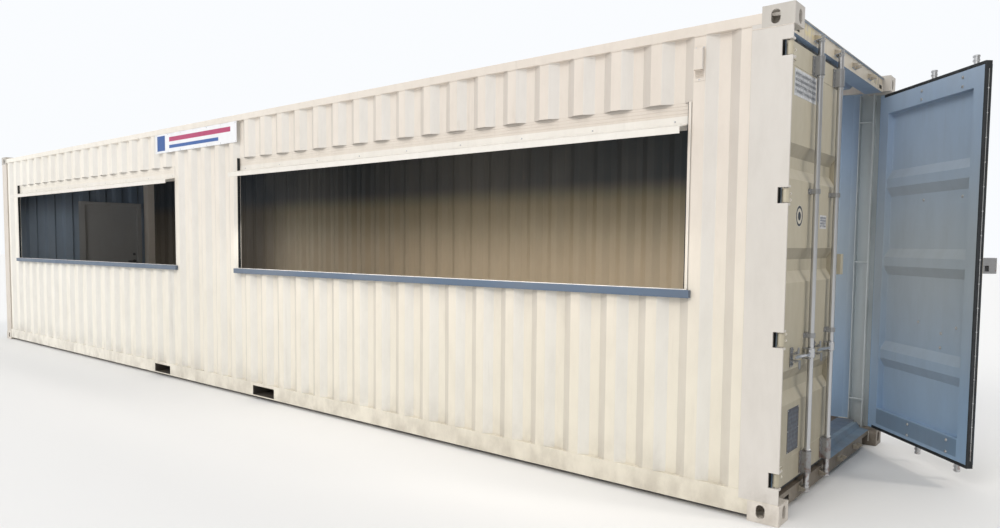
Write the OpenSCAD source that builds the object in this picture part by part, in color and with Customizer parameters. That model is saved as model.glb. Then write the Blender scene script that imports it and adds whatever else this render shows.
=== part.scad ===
// Shipping container cabin: a 40 ft high cube container with two shuttered windows,
// a personnel door in the blind end and the two cargo doors kept at the other end.
// Millimetres. +Z up, X along the length (cargo doors at +X), windows on the -Y side.
// Origin: on the ground, midway between the four bottom corner castings.

/* [Body] */
// Length over the corner castings
body_l = 12192; // [9000:10:14000]
// Width over the corner castings
body_w = 2438; // [2400:1:3000]
// Height over the corner castings
body_h = 2896; // [2700:1:3200]
// Floor top above the ground
floor_z = 170; // [165:1:190]
// Thickness of the floor boards
floor_t = 28; // [18:1:32]
// Thickness of the corrugated sheets
sheet_t = 2; // [1.6:0.1:4]

/* [Corner castings] */
// Casting length along X
cast_l = 178; // [170:1:190]
// Casting width along Y
cast_w = 162; // [155:1:170]
// Casting height
cast_h = 118; // [112:1:125]
// Thickness of the apertured top or bottom plate
cast_plate = 28; // [20:1:32]
// Thickness of the other walls
cast_wall = 14; // [10:1:18]
// Length of the twistlock slot
slot_l = 124; // [110:0.5:128]
// Width of the twistlock slot
slot_w = 63.5; // [55:0.5:68]
// Slot centre, in from the end face
slot_ex = 103.5; // [100:0.5:106]
// Slot centre, in from the side face
slot_ey = 89.5; // [86:0.5:92]

/* [Side walls] */
// Pitch of the side corrugations
wall_pitch = 278; // [230:1:330]
// Flat of a corrugation crest
wall_crest = 72; // [50:1:90]
// Run of each corrugation slope
wall_slope = 68; // [40:1:76]
// Depth of the side corrugations
wall_depth = 36; // [20:1:40]
// Pitch of the end wall corrugations
end_pitch = 280; // [240:1:330]
// Depth of the end wall corrugations
end_depth = 46; // [25:1:50]
// Height of the top side rail
top_rail_h = 60; // [50:1:80]
// Wall of the top side rail
top_rail_t = 3; // [2.5:0.5:5]
// Underside of the bottom side rail
bot_rail_z = 30; // [15:1:34]
// Flange of the bottom side rail
bot_rail_f = 48; // [40:1:60]
// Sheet of the bottom side rail
bot_rail_t = 4.5; // [3:0.5:6]

/* [Windows] */
// First window, in from the blind end of the body
win1_end = 621; // [496:1:2000]
// First window, back from the middle of the body
win1_mid = 609; // [300:1:1400]
// Second window, forward from the middle of the body
win2_mid = 660; // [300:1:1400]
// Second window, in from the door end of the body
win2_end = 599; // [576:1:2000]
// Top of the window sill
win_z0 = 1310; // [900:1:1500]
// Underside of the window head
win_z1 = 2352; // [2100:1:2450]
// Height of the window head
win_head = 78; // [50:1:90]
// Width of a window jamb
jamb_w = 15; // [12:1:30]
// Depth of the window head tube
head_d = 40; // [30:1:60]
// Height of the folded sill
sill_h = 48; // [30:1:60]
// Projection of the sill from the wall
sill_out = 31; // [15:1:80]
// Projection of the sill into the room
sill_in = 52; // [20:1:90]
// Height of the shutter bottom bar
bar_h = 48; // [40:1:80]
// Projection of the shutter drip lip
lip_out = 142; // [80:1:160]
// Height of the drip lip's front
lip_h = 41; // [20:1:60]
// Depth of the shutter hood
hood_d = 230; // [180:1:280]
// Height of the shutter hood
hood_h = 250; // [200:1:300]

/* [Personnel door] */
// Frame edge on the hinge side
man_y0 = -75; // [-200:1:0]
// Frame edge on the lock side
man_y1 = 975; // [800:1:1000]
// Top of the frame
man_z1 = 2260; // [2050:1:2400]
// Face width of the frame
man_face = 70; // [55:1:80]
// Depth of the frame
man_depth = 100; // [80:1:120]
// Thickness of the leaf
man_leaf_t = 45; // [38:1:48]
// Clearance round the leaf
man_gap = 5; // [5:0.5:8]
// Height of the lever above the ground
lever_z = 1225; // [1100:1:1300]
// Radius of the lever spindle
spindle_r = 8; // [6:0.5:9]

/* [Cargo doors] */
// Outer face of the door leaves, in from the casting face
leaf_in = 62; // [58:1:66]
// Thickness of a door leaf
leaf_t = 50; // [40:1:56]
// Hinge axis, in from the casting face
hinge_in = 30; // [28:1:34]
// Hinge axis, in from the casting side
hinge_side = 35; // [33:1:38]
// Radius of the hinge pin
pin_r = 9; // [7:0.5:10]
// Clearance of the pin in its knuckle
pin_gap = 0.4; // [0.2:0.1:0.8]
// Hinge edge of the leaf, in from the casting side
leaf_side = 69; // [67:1:75]
// Gap between each leaf and the middle of the doorway
leaf_mid = 14; // [12:1:20]
// Underside of the leaf below the floor top
leaf_drop = 5; // [0:1:8]
// Top of the leaf below the roof level
leaf_top = 166; // [160:1:180]
// Height of a hinge knuckle
knuckle_h = 76; // [60:1:80]
// Opening of the far door as it stands
far_open = 42; // [0:1:95]
// Lock rod radius
rod_r = 17; // [13:0.5:18]
// Lock rod tube wall
rod_wall = 3.5; // [2.5:0.5:5]
// Clearance between a rod and its bearings
rod_gap = 1; // [0.5:0.1:1.5]
// Inner rod, out from the middle
rod_in_y = 215; // [190:1:260]
// Outer rod, out from the middle
rod_out_y = 645; // [600:1:700]
// Height of the lock handles
handle_z = 925; // [900:1:975]
// Length of a lock handle
handle_l = 280; // [260:1:335]

/* [Base] */
// Width of a fork pocket
fork_w = 360; // [300:1:380]
// Spacing of the fork pockets
fork_sp = 2050; // [1800:1:2200]
// Middle of the pair of fork pockets
fork_mid = 60; // [-100:1:120]
// Pitch of the cross members
cross_pitch = 305; // [250:1:400]
// Sheet of the cross members
cross_t = 4; // [3:0.5:6]

/* [Hidden] */

cream = [0.91, 0.87, 0.80];
white = [0.95, 0.95, 0.93];
steelblue2 = [0.43, 0.52, 0.61];
darkblue = [0.22, 0.29, 0.36];
galv = [0.66, 0.67, 0.67];
black = [0.06, 0.06, 0.07];
brown = [0.33, 0.24, 0.18];

hl = body_l / 2;
hw = body_w / 2;
cx = hl - cast_l;            // inner face of the castings along X
cy = hw - cast_w;            // inner face of the castings along Y
ztop = body_h - cast_h;      // underside of the top castings
face_y = hw - 3;             // outer face of the posts
rail_y = hw - 6;             // outer face of the rails
crest_y = hw - 10;           // outer crests of the side walls
valley_y = crest_y - wall_depth;
slot_sx = body_l - 2 * slot_ex;
slot_sy = body_w - 2 * slot_ey;
win1_x0 = win1_end - hl;
win1_x1 = -win1_mid;
win2_x0 = win2_mid;
win2_x1 = hl - win2_end;
post_x0 = cx - 53;           // door post, inner edge
post_x1 = hl - 8;            // door post, outer edge
post_t = 12;
post_y = hw - 83;            // jamb flanges end here
rail_z1 = floor_z - 5;       // top of the bottom side rails
trail_z0 = body_h - 33 - top_rail_h;
floor_z0 = floor_z - floor_t;
head_x = hl - 56;            // front face of header and sill
wall_x0 = -cx;
wall_x1 = post_x0;
end_x = -(hl - 16);          // outer crests of the blind end wall
end_post_y = cy + 8;
pin_x = hl - hinge_in;
pin_y = hw - hinge_side;
leaf_x1 = hl - leaf_in;
leaf_x0 = leaf_x1 - leaf_t;
leaf_y1 = hw - leaf_side;
leaf_z0 = floor_z - leaf_drop;
leaf_z1 = body_h - leaf_top;
gask = 22;                   // gasket beyond the leaf, top and bottom
stile_h = 100;
stile_f = 96;
memb_t = 130;
memb_b = 150;
tube_t = 4;
rod_x = leaf_x1 + rod_r + 19;
bear_r = rod_r + rod_gap + 6;
knuckle_r = pin_r + 8;
notch_h = 88;
lug_t = 12;
hinge_zs = [leaf_z0 + 92, 1055, 1857, body_h - 239];
band_zs = [748, 1465, leaf_z1 - 665];
rod_z1 = body_h - 60;
rod_z0 = 60;
keep_z1 = body_h - 80;
keep_z0 = 80;
fork_t = 6;
fork_z0 = 36;

module bx(x0, x1, y0, y1, z0, z1) translate([x0, y0, z0]) cube([x1 - x0, y1 - y0, z1 - z0]);
// prism along Y from a profile in X and Z
module prism_y(p, y0, y1) translate([0, y1, 0]) rotate([90, 0, 0]) linear_extrude(y1 - y0) polygon(p);
// prism along X from a profile in Y and Z
module prism_x(p, x0, x1) translate([x0, 0, 0]) rotate([90, 0, 90]) linear_extrude(x1 - x0) polygon(p);
module rod(x, y, z0, z1, r) translate([x, y, z0]) cylinder(h = z1 - z0, r = r, $fn = 48);

// depth of a corrugation at position s, and the places where it bends
function cor(s, p, c, sl, d) = let(u = abs(s - p * round(s / p)))
  u <= c / 2 ? 0 : (u >= c / 2 + sl ? d : (u - c / 2) / sl * d);
function bends(a, b, p, c, sl) = [for (k = [floor(a / p) - 1 : ceil(b / p) + 1])
  for (o = [-c / 2 - sl, -c / 2, c / 2, c / 2 + sl]) let(s = k * p + o) if (s > a + 0.01 && s < b - 0.01) s];
function line(a, b, p, c, sl) = concat([a], bends(a, b, p, c, sl), [b]);
function rev(v) = [for (i = [len(v) - 1 : -1 : 0]) v[i]];

module side_sheet(x0, x1, z0, z1) {
  s = line(x0, x1, wall_pitch, wall_crest, wall_slope);
  o = [for (x = s) [x, -crest_y + cor(x, wall_pitch, wall_crest, wall_slope, wall_depth)]];
  i = [for (x = rev(s)) [x, -crest_y + sheet_t + cor(x, wall_pitch, wall_crest, wall_slope, wall_depth)]];
  translate([0, 0, z0]) linear_extrude(z1 - z0) polygon(concat(o, i));
}
end_crest = 110;
end_slope = 30;
end_mid = (man_y0 + man_y1) / 2;
module end_sheet(y0, y1, z0, z1) {
  s = line(y0 - end_mid, y1 - end_mid, end_pitch, end_crest, end_slope);
  o = [for (y = s) [end_x + cor(y, end_pitch, end_crest, end_slope, end_depth), y + end_mid]];
  i = [for (y = rev(s)) [end_x + sheet_t + cor(y, end_pitch, end_crest, end_slope, end_depth), y + end_mid]];
  translate([0, 0, z0]) linear_extrude(z1 - z0) polygon(concat(rev(o), rev(i)));
}

// ---- corner castings ----
module casting() difference() {
  bx(cx, hl, cy, hw, 0, cast_h);
  bx(cx + cast_wall, hl - cast_wall, cy + cast_wall, hw - cast_wall, cast_plate, cast_h - cast_wall);
  for (s = [-1, 1]) translate([slot_sx / 2 + s * (slot_l - slot_w) / 2, slot_sy / 2, -1])
    cylinder(h = cast_plate + 2, d = slot_w, $fn = 64);
  bx(slot_sx / 2 - (slot_l - slot_w) / 2, slot_sx / 2 + (slot_l - slot_w) / 2,
     slot_sy / 2 - slot_w / 2, slot_sy / 2 + slot_w / 2, -1, cast_plate + 1);
  // side aperture
  for (z = [51, 79]) translate([slot_sx / 2, hw + 1, z]) rotate([90, 0, 0])
    cylinder(h = cast_wall + 2, r = 25.5, $fn = 48);
  bx(slot_sx / 2 - 25.5, slot_sx / 2 + 25.5, hw - cast_wall - 1, hw + 1, 51, 79);
  // end aperture
  for (z = [51, 79]) translate([hl - cast_wall - 1, slot_sy / 2, z]) rotate([0, 90, 0])
    cylinder(h = cast_wall + 2, r = 25.5, $fn = 48);
  bx(hl - cast_wall - 1, hl + 1, slot_sy / 2 - 25.5, slot_sy / 2 + 25.5, 51, 79);
}
module castings(end, top) color(cream)
  for (s = [0, 1]) translate([0, 0, top ? body_h : 0]) mirror([0, 0, top ? 1 : 0])
    mirror([end > 0 ? 0 : 1, 0, 0]) mirror([0, s, 0]) casting();

// ---- posts ----
module post_door() color(cream) {
  difference() {
    union() {
      bx(post_x0, post_x1, -face_y, -face_y + post_t, cast_h, ztop);
      bx(post_x0, cx, -face_y, -face_y + post_t, ztop, trail_z0);
      bx(post_x0, post_x0 + 6, -face_y + post_t, -post_y, cast_h, ztop);
      bx(leaf_x0 - 22, leaf_x0 - 12, -face_y + post_t, -post_y, cast_h, ztop);
    }
    for (z = hinge_zs) bx(pin_x - 36, post_x1 + 1, -face_y - 1, -face_y + post_t + 1, z - notch_h / 2, z + notch_h / 2);
    // the floor side rail runs behind the foot of the post
    bx(post_x0 - 1, cx + 0.01, -face_y + post_t - 0.01, -post_y + 1, cast_h - 1, floor_z + 0.01);
  }
  for (z = hinge_zs) {
    for (s = [-1, 1]) translate([0, 0, z + s * (notch_h / 2 + lug_t / 2) - lug_t / 2])
      bx(pin_x - 20, pin_x + 20, -face_y + post_t, -pin_y + 18, 0, lug_t);
    rod(pin_x, -pin_y, z - notch_h / 2 - lug_t, z + notch_h / 2 + lug_t, pin_r);
  }
  // lashing bars across the open side of the post
  for (i = [0 : 2]) translate([post_x0 + 6, -post_y - 9, 345 + i * (body_h - 676) / 2]) rotate([0, 90, 0])
    cylinder(h = leaf_x0 - 22 - post_x0 - 6, r = 6, $fn = 24);
}
module post_blind() color(cream) difference() {
  bx(-(hl - 6), -cx, -face_y, -end_post_y, cast_h, ztop);
  bx(-(hl - 12), -cx - 6, -face_y + 6, -end_post_y - 6, cast_h - 1, ztop + 1);
}

// ---- end frames ----
module keeper(z) for (y = [rod_in_y, rod_out_y]) for (s = [-1, 1]) {
  bx(head_x, head_x + 5, s * y - 48, s * y + 48, z - 18, z + 18);
  for (w = [-1, 1]) prism_y([[head_x + 5, z - 16], [head_x + 40, z - 7], [head_x + 40, z + 7], [head_x + 5, z + 16]],
                            s * y + w * 43 - 4, s * y + w * 43 + 4);
}
module door_header() color(cream) {
  difference() {
    bx(cx, head_x, -cy, cy, ztop - 6, body_h - 16);
    bx(cx + 4, head_x - 4, -cy - 1, cy + 1, ztop - 2, body_h - 20);
    // finger recesses beside the castings
    for (s = [-1, 1]) bx(head_x - 5, head_x + 1, s * (cy - 60) - 40, s * (cy - 60) + 40, ztop + 12, ztop + 40);
  }
  bx(head_x, head_x + 12, -cy, cy, body_h - 26, body_h - 20);
  keeper(keep_z1);
}
module door_sill() color(cream) {
  difference() {
    prism_y([[cx, bot_rail_z], [head_x, bot_rail_z], [head_x, floor_z - 48], [leaf_x0 - 9, floor_z - 37],
             [leaf_x0 - 29, floor_z], [cx, floor_z]], -cy, cy);
    prism_y([[cx + 6, bot_rail_z - 1], [head_x - 6, bot_rail_z - 1], [head_x - 6, floor_z - 53],
             [leaf_x0 - 13, floor_z - 43], [leaf_x0 - 32, floor_z - 6], [cx + 6, floor_z - 6]], -cy - 1, cy + 1);
    for (s = [-1, 1]) bx(cx - 1, head_x + 1, s > 0 ? cy - 192 : -cy - 1, s > 0 ? cy + 1 : -cy + 192,
                         bot_rail_z - 1, bot_rail_z + 61);
  }
  keeper(keep_z0);
}
module blind_top_rail() color(cream) difference() {
  bx(-(hl - 10), -cx, -cy, cy, ztop, body_h - 16);
  bx(-(hl - 14), -cx - 4, -cy - 1, cy + 1, ztop + 4, body_h - 20);
}
module blind_bottom_rail() color(cream) difference() {
  bx(-(hl - 10), -(hl - 106), -cy, cy, bot_rail_z, floor_z);
  bx(-(hl - 15), -(hl - 111) + 6, -cy - 1, cy + 1, bot_rail_z + 5, floor_z - 5);
}
module bottom_rail() color(cream) difference() {
  bx(-cx, cx, -rail_y, -rail_y + bot_rail_f, bot_rail_z, rail_z1);
  bx(-cx - 1, cx + 1, -rail_y + bot_rail_t, -rail_y + bot_rail_f + 1, bot_rail_z + bot_rail_t, rail_z1 - bot_rail_t);
  bx(post_x0, cx + 1, -rail_y - 1, -rail_y + bot_rail_f + 1, cast_h, rail_z1 + 1);
  for (s = [-1, 1]) {
    bx(fork_mid + s * fork_sp / 2 - fork_w / 2, fork_mid + s * fork_sp / 2 + fork_w / 2,
       -rail_y - 1, -rail_y + bot_rail_t + 1, fork_z0 + fork_t, floor_z0 - fork_t);
    bx(fork_mid + s * fork_sp / 2 - fork_w / 2 - fork_t, fork_mid + s * fork_sp / 2 + fork_w / 2 + fork_t,
       -rail_y + bot_rail_t, -rail_y + bot_rail_f + 1, bot_rail_z - 1, floor_z0);
  }
}
module top_rail() color(cream) difference() {
  bx(-cx, cx, -rail_y, -rail_y + top_rail_h, trail_z0, trail_z0 + top_rail_h);
  bx(-cx - 1, cx + 1, -rail_y + top_rail_t, -rail_y + top_rail_h - top_rail_t,
     trail_z0 + top_rail_t, trail_z0 + top_rail_h - top_rail_t);
}

// ---- base ----
cross_y = rail_y - bot_rail_t;
cross_z = 40;
module cross_member(x) difference() {
  bx(x - 22, x + 22, -cross_y, cross_y, cross_z, floor_z0);
  bx(x - 22 + cross_t, x + 23, -cross_y - 1, cross_y + 1, cross_z + cross_t, floor_z0 - cross_t);
}
fork_a = fork_mid - fork_sp / 2;
fork_b = fork_mid + fork_sp / 2;
fork_hw = fork_w / 2 + fork_t;
module cross_run(x0, x1) color(darkblue) {
  n = max(1, floor((x1 - x0 - 44) / cross_pitch));
  for (i = [0 : n]) cross_member(x0 + 22 + (x1 - x0 - 44) * i / n);
}
module fork_pocket(x) color(cream) difference() {
  bx(x - fork_hw, x + fork_hw, -cross_y, cross_y, fork_z0, floor_z0);
  bx(x - fork_w / 2, x + fork_w / 2, -cross_y - 1, cross_y + 1, fork_z0 + fork_t, floor_z0 - fork_t);
}
floor_y = rail_y - bot_rail_f;
thr_x = cx - 130;
thr_t = 4;
module floor_deck() color(brown) difference() {
  union() {
    bx(-(hl - 106), -cx, -cy, cy, floor_z0, floor_z);
    bx(-cx, post_x0, -floor_y, floor_y, floor_z0, floor_z);
    bx(post_x0, cx, -cy, cy, floor_z0, floor_z);
  }
  // the threshold plate is let in flush
  bx(thr_x, cx + 1, -hw, hw, floor_z - thr_t, floor_z + 1);
}
module threshold_plate() color(steelblue2) bx(thr_x, cx, -post_y + 4, post_y - 4, floor_z - thr_t, floor_z);

// ---- walls ----
pier1 = win1_x0 - jamb_w;
pier2 = win1_x1 + jamb_w;
pier3 = win2_x0 - jamb_w;
pier4 = win2_x1 + jamb_w;
sill_z0 = win_z0 - sill_h;
wtop_z = win_z1 + win_head;
module wall_far() color(cream) mirror([0, 1, 0]) side_sheet(wall_x0, wall_x1, rail_z1, trail_z0);
roof_crest = 100;
roof_slope = 20;
roof_pitch = 209;
module roof_panel() color(cream) {
  s = line(-cx, cx, roof_pitch, roof_crest, roof_slope);
  z0 = trail_z0 + top_rail_h - 20;
  i = [for (x = s) [x, z0 + 20 - cor(x, roof_pitch, roof_crest, roof_slope, 20)]];
  o = [for (x = rev(s)) [x, z0 + sheet_t + 20 - cor(x, roof_pitch, roof_crest, roof_slope, 20)]];
  prism_y(concat(i, o), -rail_y + top_rail_h, rail_y - top_rail_h);
}

// ---- windows ----
module tube_x(x0, x1, y0, y1, z0, z1, t) difference() {
  bx(x0, x1, y0, y1, z0, z1);
  bx(x0 - 1, x1 + 1, y0 + t, y1 - t, z0 + t, z1 - t);
}
module tube_z(x0, x1, y0, y1, z0, z1, t) difference() {
  bx(x0, x1, y0, y1, z0, z1);
  bx(x0 + t, x1 - t, y0 + t, y1 - t, z0 - 1, z1 + 1);
}
jamb_y0 = -crest_y;
jamb_y1 = -valley_y + sheet_t;
head_y1 = jamb_y1 + head_d;
module window_frame(x0, x1) color(white) {
  tube_z(x0 - jamb_w, x0, jamb_y0, jamb_y1, win_z0, wtop_z, 2);
  tube_z(x1, x1 + jamb_w, jamb_y0, jamb_y1, win_z0, wtop_z, 2);
  tube_x(x0 - jamb_w, x1 + jamb_w, jamb_y1, head_y1, win_z1, wtop_z + 20, 3);
}
sill_over = 27;
module window_sill(x0, x1) color(steelblue2) difference() {
  union() {
    bx(x0 - jamb_w, x1 + jamb_w, -crest_y, jamb_y1 + sill_in, sill_z0, win_z0);
    bx(x0 - jamb_w - sill_over, x1 + jamb_w + sill_over, -crest_y - sill_out, -crest_y, sill_z0, win_z0);
  }
  bx(x0 - jamb_w + 3, x1 + jamb_w - 3, -crest_y - sill_out + 3, jamb_y1 + sill_in - 3, sill_z0 - 1, win_z0 - 3);
}
bar_t = 8;
bar_y = jamb_y1 - 5;
lip_y = bar_y - lip_out;
lip_z = win_z1 - bar_h - 31;
module shutter_bar(x0, x1) color(white)
  prism_x([[bar_y, win_z1], [bar_y, win_z1 - bar_h + 4], [lip_y, lip_z], [lip_y, lip_z - lip_h],
           [lip_y + 4, lip_z - lip_h], [lip_y + 4, lip_z - 4], [bar_y + bar_t, win_z1 - bar_h - 2],
           [bar_y + bar_t, win_z1]], x0 + 4, x1 - 4);
module shutter_hood(x0, x1) color(white) difference() {
  bx(x0 - jamb_w, x1 + jamb_w, head_y1, head_y1 + hood_d, win_z1 - 42, win_z1 - 42 + hood_h);
  bx(x0 - jamb_w + 3, x1 + jamb_w - 3, head_y1 + 2, head_y1 + hood_d - 2, win_z1 - 40, win_z1 - 44 + hood_h);
  bx(x0, x1, head_y1 + 2, head_y1 + 32, win_z1 - 43, win_z1 - 39);
}
module sign_board() color(white) bx(-1020, 670, -crest_y - 10, -crest_y, trail_z0 - 213, trail_z0 - 3);
vent_x = wall_pitch * floor((wall_x1 - 100) / wall_pitch);
vent_z = trail_z0 - 160;
module vent_cover() color(white) {
  difference() {
    bx(vent_x - 29, vent_x + 29, -crest_y - 31, -crest_y - 2, vent_z - 40, vent_z + 84);
    bx(vent_x - 27, vent_x + 27, -crest_y - 29, -crest_y - 1, vent_z - 41, vent_z + 82);
  }
  difference() {
    bx(vent_x - 36, vent_x + 36, -crest_y - 2, -crest_y, vent_z - 103, vent_z + 100);
    for (i = [0 : 3]) bx(vent_x - 25, vent_x + 25, -crest_y - 3, -crest_y + 1, vent_z - 82 + 11 * i, vent_z - 76 + 11 * i);
  }
}

// ---- personnel door ----
mf_x0 = -(hl - 4);
mf_x1 = mf_x0 + man_depth;
reb = 25;                        // width of the rebate round the leaf
reb_x = mf_x0 + man_leaf_t + 5;  // face of the stop
oy0 = man_y0 + man_face;
oy1 = man_y1 - man_face;
oz1 = man_z1 - man_face + 20;
ml_y0 = oy0 - reb + man_gap;
ml_y1 = oy1 + reb - man_gap;
ml_z0 = floor_z + 8;
ml_z1 = oz1 + reb - man_gap;
mp_x = mf_x0 - 7;
mp_y = oy0 - reb + man_gap / 2;
mh_zs = [floor_z + 230, (floor_z + man_z1) / 2, man_z1 - 260];
module man_hinge_half(x0, zs) for (z = mh_zs) {
  difference() {
    for (s = zs) rod(mp_x, mp_y, z + s[0], z + s[1], 7);
    rod(mp_x, mp_y, z - 60, z + 60, 3.3);
  }
}
module man_door_frame() color(galv) {
  difference() {
    bx(mf_x0, mf_x1, man_y0, man_y1, floor_z, man_z1);
    bx(mf_x0 - 1, reb_x, oy0 - reb, oy1 + reb, floor_z - 1, oz1 + reb);
    bx(mf_x0 - 1, mf_x1 + 1, oy0, oy1, floor_z - 1, oz1);
    // folded section, open towards the wall
    bx(mf_x0 + 3, reb_x + 3, man_y0 - 1, oy0 - reb - 3, floor_z - 1, man_z1 + 1);
    bx(reb_x + 3 - 0.01, mf_x1 - 3, man_y0 - 1, oy0 - 3, floor_z - 1, man_z1 + 1);
    bx(mf_x0 + 3, reb_x + 3, oy1 + reb + 3, man_y1 + 1, floor_z - 1, man_z1 + 1);
    bx(reb_x + 3 - 0.01, mf_x1 - 3, oy1 + 3, man_y1 + 1, floor_z - 1, man_z1 + 1);
    bx(mf_x0 + 3, reb_x + 3, man_y0 - 1, man_y1 + 1, oz1 + reb + 3, man_z1 + 1);
    bx(reb_x + 3 - 0.01, mf_x1 - 3, man_y0 - 1, man_y1 + 1, oz1 + 3, man_z1 + 1);
  }
  bx(reb_x + 2, mf_x1, oy0, oy1, floor_z, floor_z + 6);
  man_hinge_half(0, [[-45, -23], [23, 45]]);
  for (z = mh_zs) {
    rod(mp_x, mp_y, z - 45, z + 45, 3);
    for (s = [[-45, -23], [23, 45]]) bx(mf_x0 - 3, mf_x0, man_y0 + 4, mp_y + 2.5, z + s[0], z + s[1]);
  }
}
lev_y = ml_y1 - 70;
module man_door_leaf() color(galv) {
  difference() {
    bx(mf_x0, mf_x0 + man_leaf_t, ml_y0, ml_y1, ml_z0, ml_z1);
    bx(mf_x0 + 2, mf_x0 + man_leaf_t - 2, ml_y0 + 2, ml_y1 - 2, ml_z0 + 2, ml_z1 - 2);
    translate([mf_x0 - 1, lev_y, lever_z]) rotate([0, 90, 0]) cylinder(h = man_leaf_t + 2, r = spindle_r + 4, $fn = 48);
  }
  difference() {
    for (z = mh_zs) {
      rod(mp_x, mp_y, z - 18, z + 18, 7);
      bx(mf_x0 - 3, mf_x0, mp_y, mp_y + 40, z - 18, z + 18);
    }
    for (z = mh_zs) rod(mp_x, mp_y, z - 20, z + 20, 3.3);
  }
}
module man_door_lever() color(galv) {
  translate([mf_x0 - 50, lev_y, lever_z]) rotate([0, 90, 0]) cylinder(h = man_leaf_t + 100, r = spindle_r, $fn = 48);
  for (x = [mf_x0 - 50, mf_x0 + man_leaf_t + 38]) {
    bx(x, x + 12, lev_y - 125, lev_y, lever_z - 10, lever_z + 10);
    translate([x, lev_y, lever_z]) rotate([0, 90, 0]) cylinder(h = 12, r = 13, $fn = 48);
  }
}
module man_door_lockset() color(galv) {
  difference() {
    for (x = [mf_x0 - 8, mf_x0 + man_leaf_t]) translate([x, lev_y, lever_z]) rotate([0, 90, 0])
      cylinder(h = 8, r = 27, $fn = 48);
    translate([mf_x0 - 10, lev_y, lever_z]) rotate([0, 90, 0]) cylinder(h = man_leaf_t + 20, r = spindle_r + 0.5, $fn = 48);
  }
  translate([mf_x0 - 12, lev_y, lever_z + 125]) rotate([0, 90, 0]) cylinder(h = 12, r = 24, $fn = 48);
  translate([mf_x0 + man_leaf_t, lev_y, lever_z + 125]) rotate([0, 90, 0]) cylinder(h = 10, r = 24, $fn = 48);
  bx(mf_x0 + man_leaf_t + 10, mf_x0 + man_leaf_t + 26, lev_y - 4, lev_y + 4, lever_z + 109, lever_z + 141);
}

// ---- cargo doors, drawn for the -Y side ----
py0 = -leaf_y1 + stile_h;
py1 = -leaf_mid - stile_f;
function band(z, x, d) = [[x, z + 102], [x - d, z + 34], [x - d, z - 34], [x, z - 102]];
module leaf_panel() {
  d = 38;
  zt = leaf_z1 - memb_t;
  zb = leaf_z0 + memb_b;
  xo = leaf_x1;
  xi = leaf_x1 - 2;
  up = [for (k = [2, 1, 0]) each band(band_zs[k], xo, d)];
  dn = [for (k = [0, 1, 2]) each rev([[xi, band_zs[k] + 101], [xi - d, band_zs[k] + 33],
                                     [xi - d, band_zs[k] - 33], [xi, band_zs[k] - 101]])];
  prism_y(concat([[xo, zt]], up, [[xo, zb], [xi, zb]], dn, [[xi, zt]]), py0, py1);
}
module cargo_leaf() color(cream) {
  difference() {
    bx(leaf_x0, leaf_x1, -leaf_y1, -leaf_mid, leaf_z0, leaf_z1);
    bx(leaf_x0 - 1, leaf_x1 + 1, py0, py1, leaf_z0 + memb_b, leaf_z1 - memb_t);
    bx(leaf_x0 + tube_t, leaf_x1 - tube_t, -leaf_y1 + tube_t, py0 - tube_t, leaf_z0 - 1, leaf_z1 + 1);
    bx(leaf_x0 + tube_t, leaf_x1 - tube_t, py1 + tube_t, -leaf_mid - tube_t, leaf_z0 - 1, leaf_z1 + 1);
    for (z = [[leaf_z0, leaf_z0 + memb_b], [leaf_z1 - memb_t, leaf_z1]])
      bx(leaf_x0 + tube_t, leaf_x1 - tube_t, py0 - tube_t - 1, py1 + tube_t + 1, z[0] + tube_t, z[1] - tube_t);
  }
  leaf_panel();
  for (z = hinge_zs) translate([0, 0, z]) difference() {
    union() {
      translate([0, 0, -34]) linear_extrude(68) polygon([[leaf_x1, -leaf_y1], [leaf_x1, -leaf_y1 + 140],
        [leaf_x1 + 12, -leaf_y1 + 140], [leaf_x1 + 12, -leaf_y1 + 12], [pin_x + 8, -pin_y + 14],
        [pin_x, -pin_y], [pin_x - 12, -pin_y + 4]]);
      rod(pin_x, -pin_y, -knuckle_h / 2, knuckle_h / 2, knuckle_r);
    }
    rod(pin_x, -pin_y, -knuckle_h, knuckle_h, pin_r + pin_gap);
  }
}
module cargo_gasket() color(black) difference() {
  bx(leaf_x0 - 2, leaf_x1 - 8, -leaf_y1 - 8, -5, leaf_z0 - gask, leaf_z1 + gask);
  bx(leaf_x0 - 3, leaf_x1, -leaf_y1, -leaf_mid, leaf_z0, leaf_z1);
}
module bearing(y, z0, z1) difference() {
  union() {
    bx(leaf_x1, leaf_x1 + 6, -y - 42, -y + 42, z0, z1);
    bx(leaf_x1 + 6, rod_x, -y - bear_r, -y + bear_r, z0, z1);
    rod(rod_x, -y, z0, z1, bear_r);
  }
  rod(rod_x, -y, z0 - 1, z1 + 1, rod_r + rod_gap);
}
up_z = leaf_z1 - 130;
module rod_brackets() {
  for (y = [rod_in_y, rod_out_y]) {
    bearing(y, leaf_z0 + 12, leaf_z0 + 150);
    bearing(y, up_z, up_z + 114);
    bearing(y, 1018, 1048);
    bearing(y, 1894, 1924);
    // handle catch
    translate([0, -y - handle_l + 22, 0]) {
      bx(leaf_x1, leaf_x1 + 6, -24, 24, handle_z - 58, handle_z + 55);
      bx(leaf_x1 + 6, leaf_x1 + 52, -20, 20, handle_z - 23, handle_z - 17);
      bx(leaf_x1 + 6, leaf_x1 + 40, -12, 12, handle_z + 17, handle_z + 23);
    }
  }
}
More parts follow.
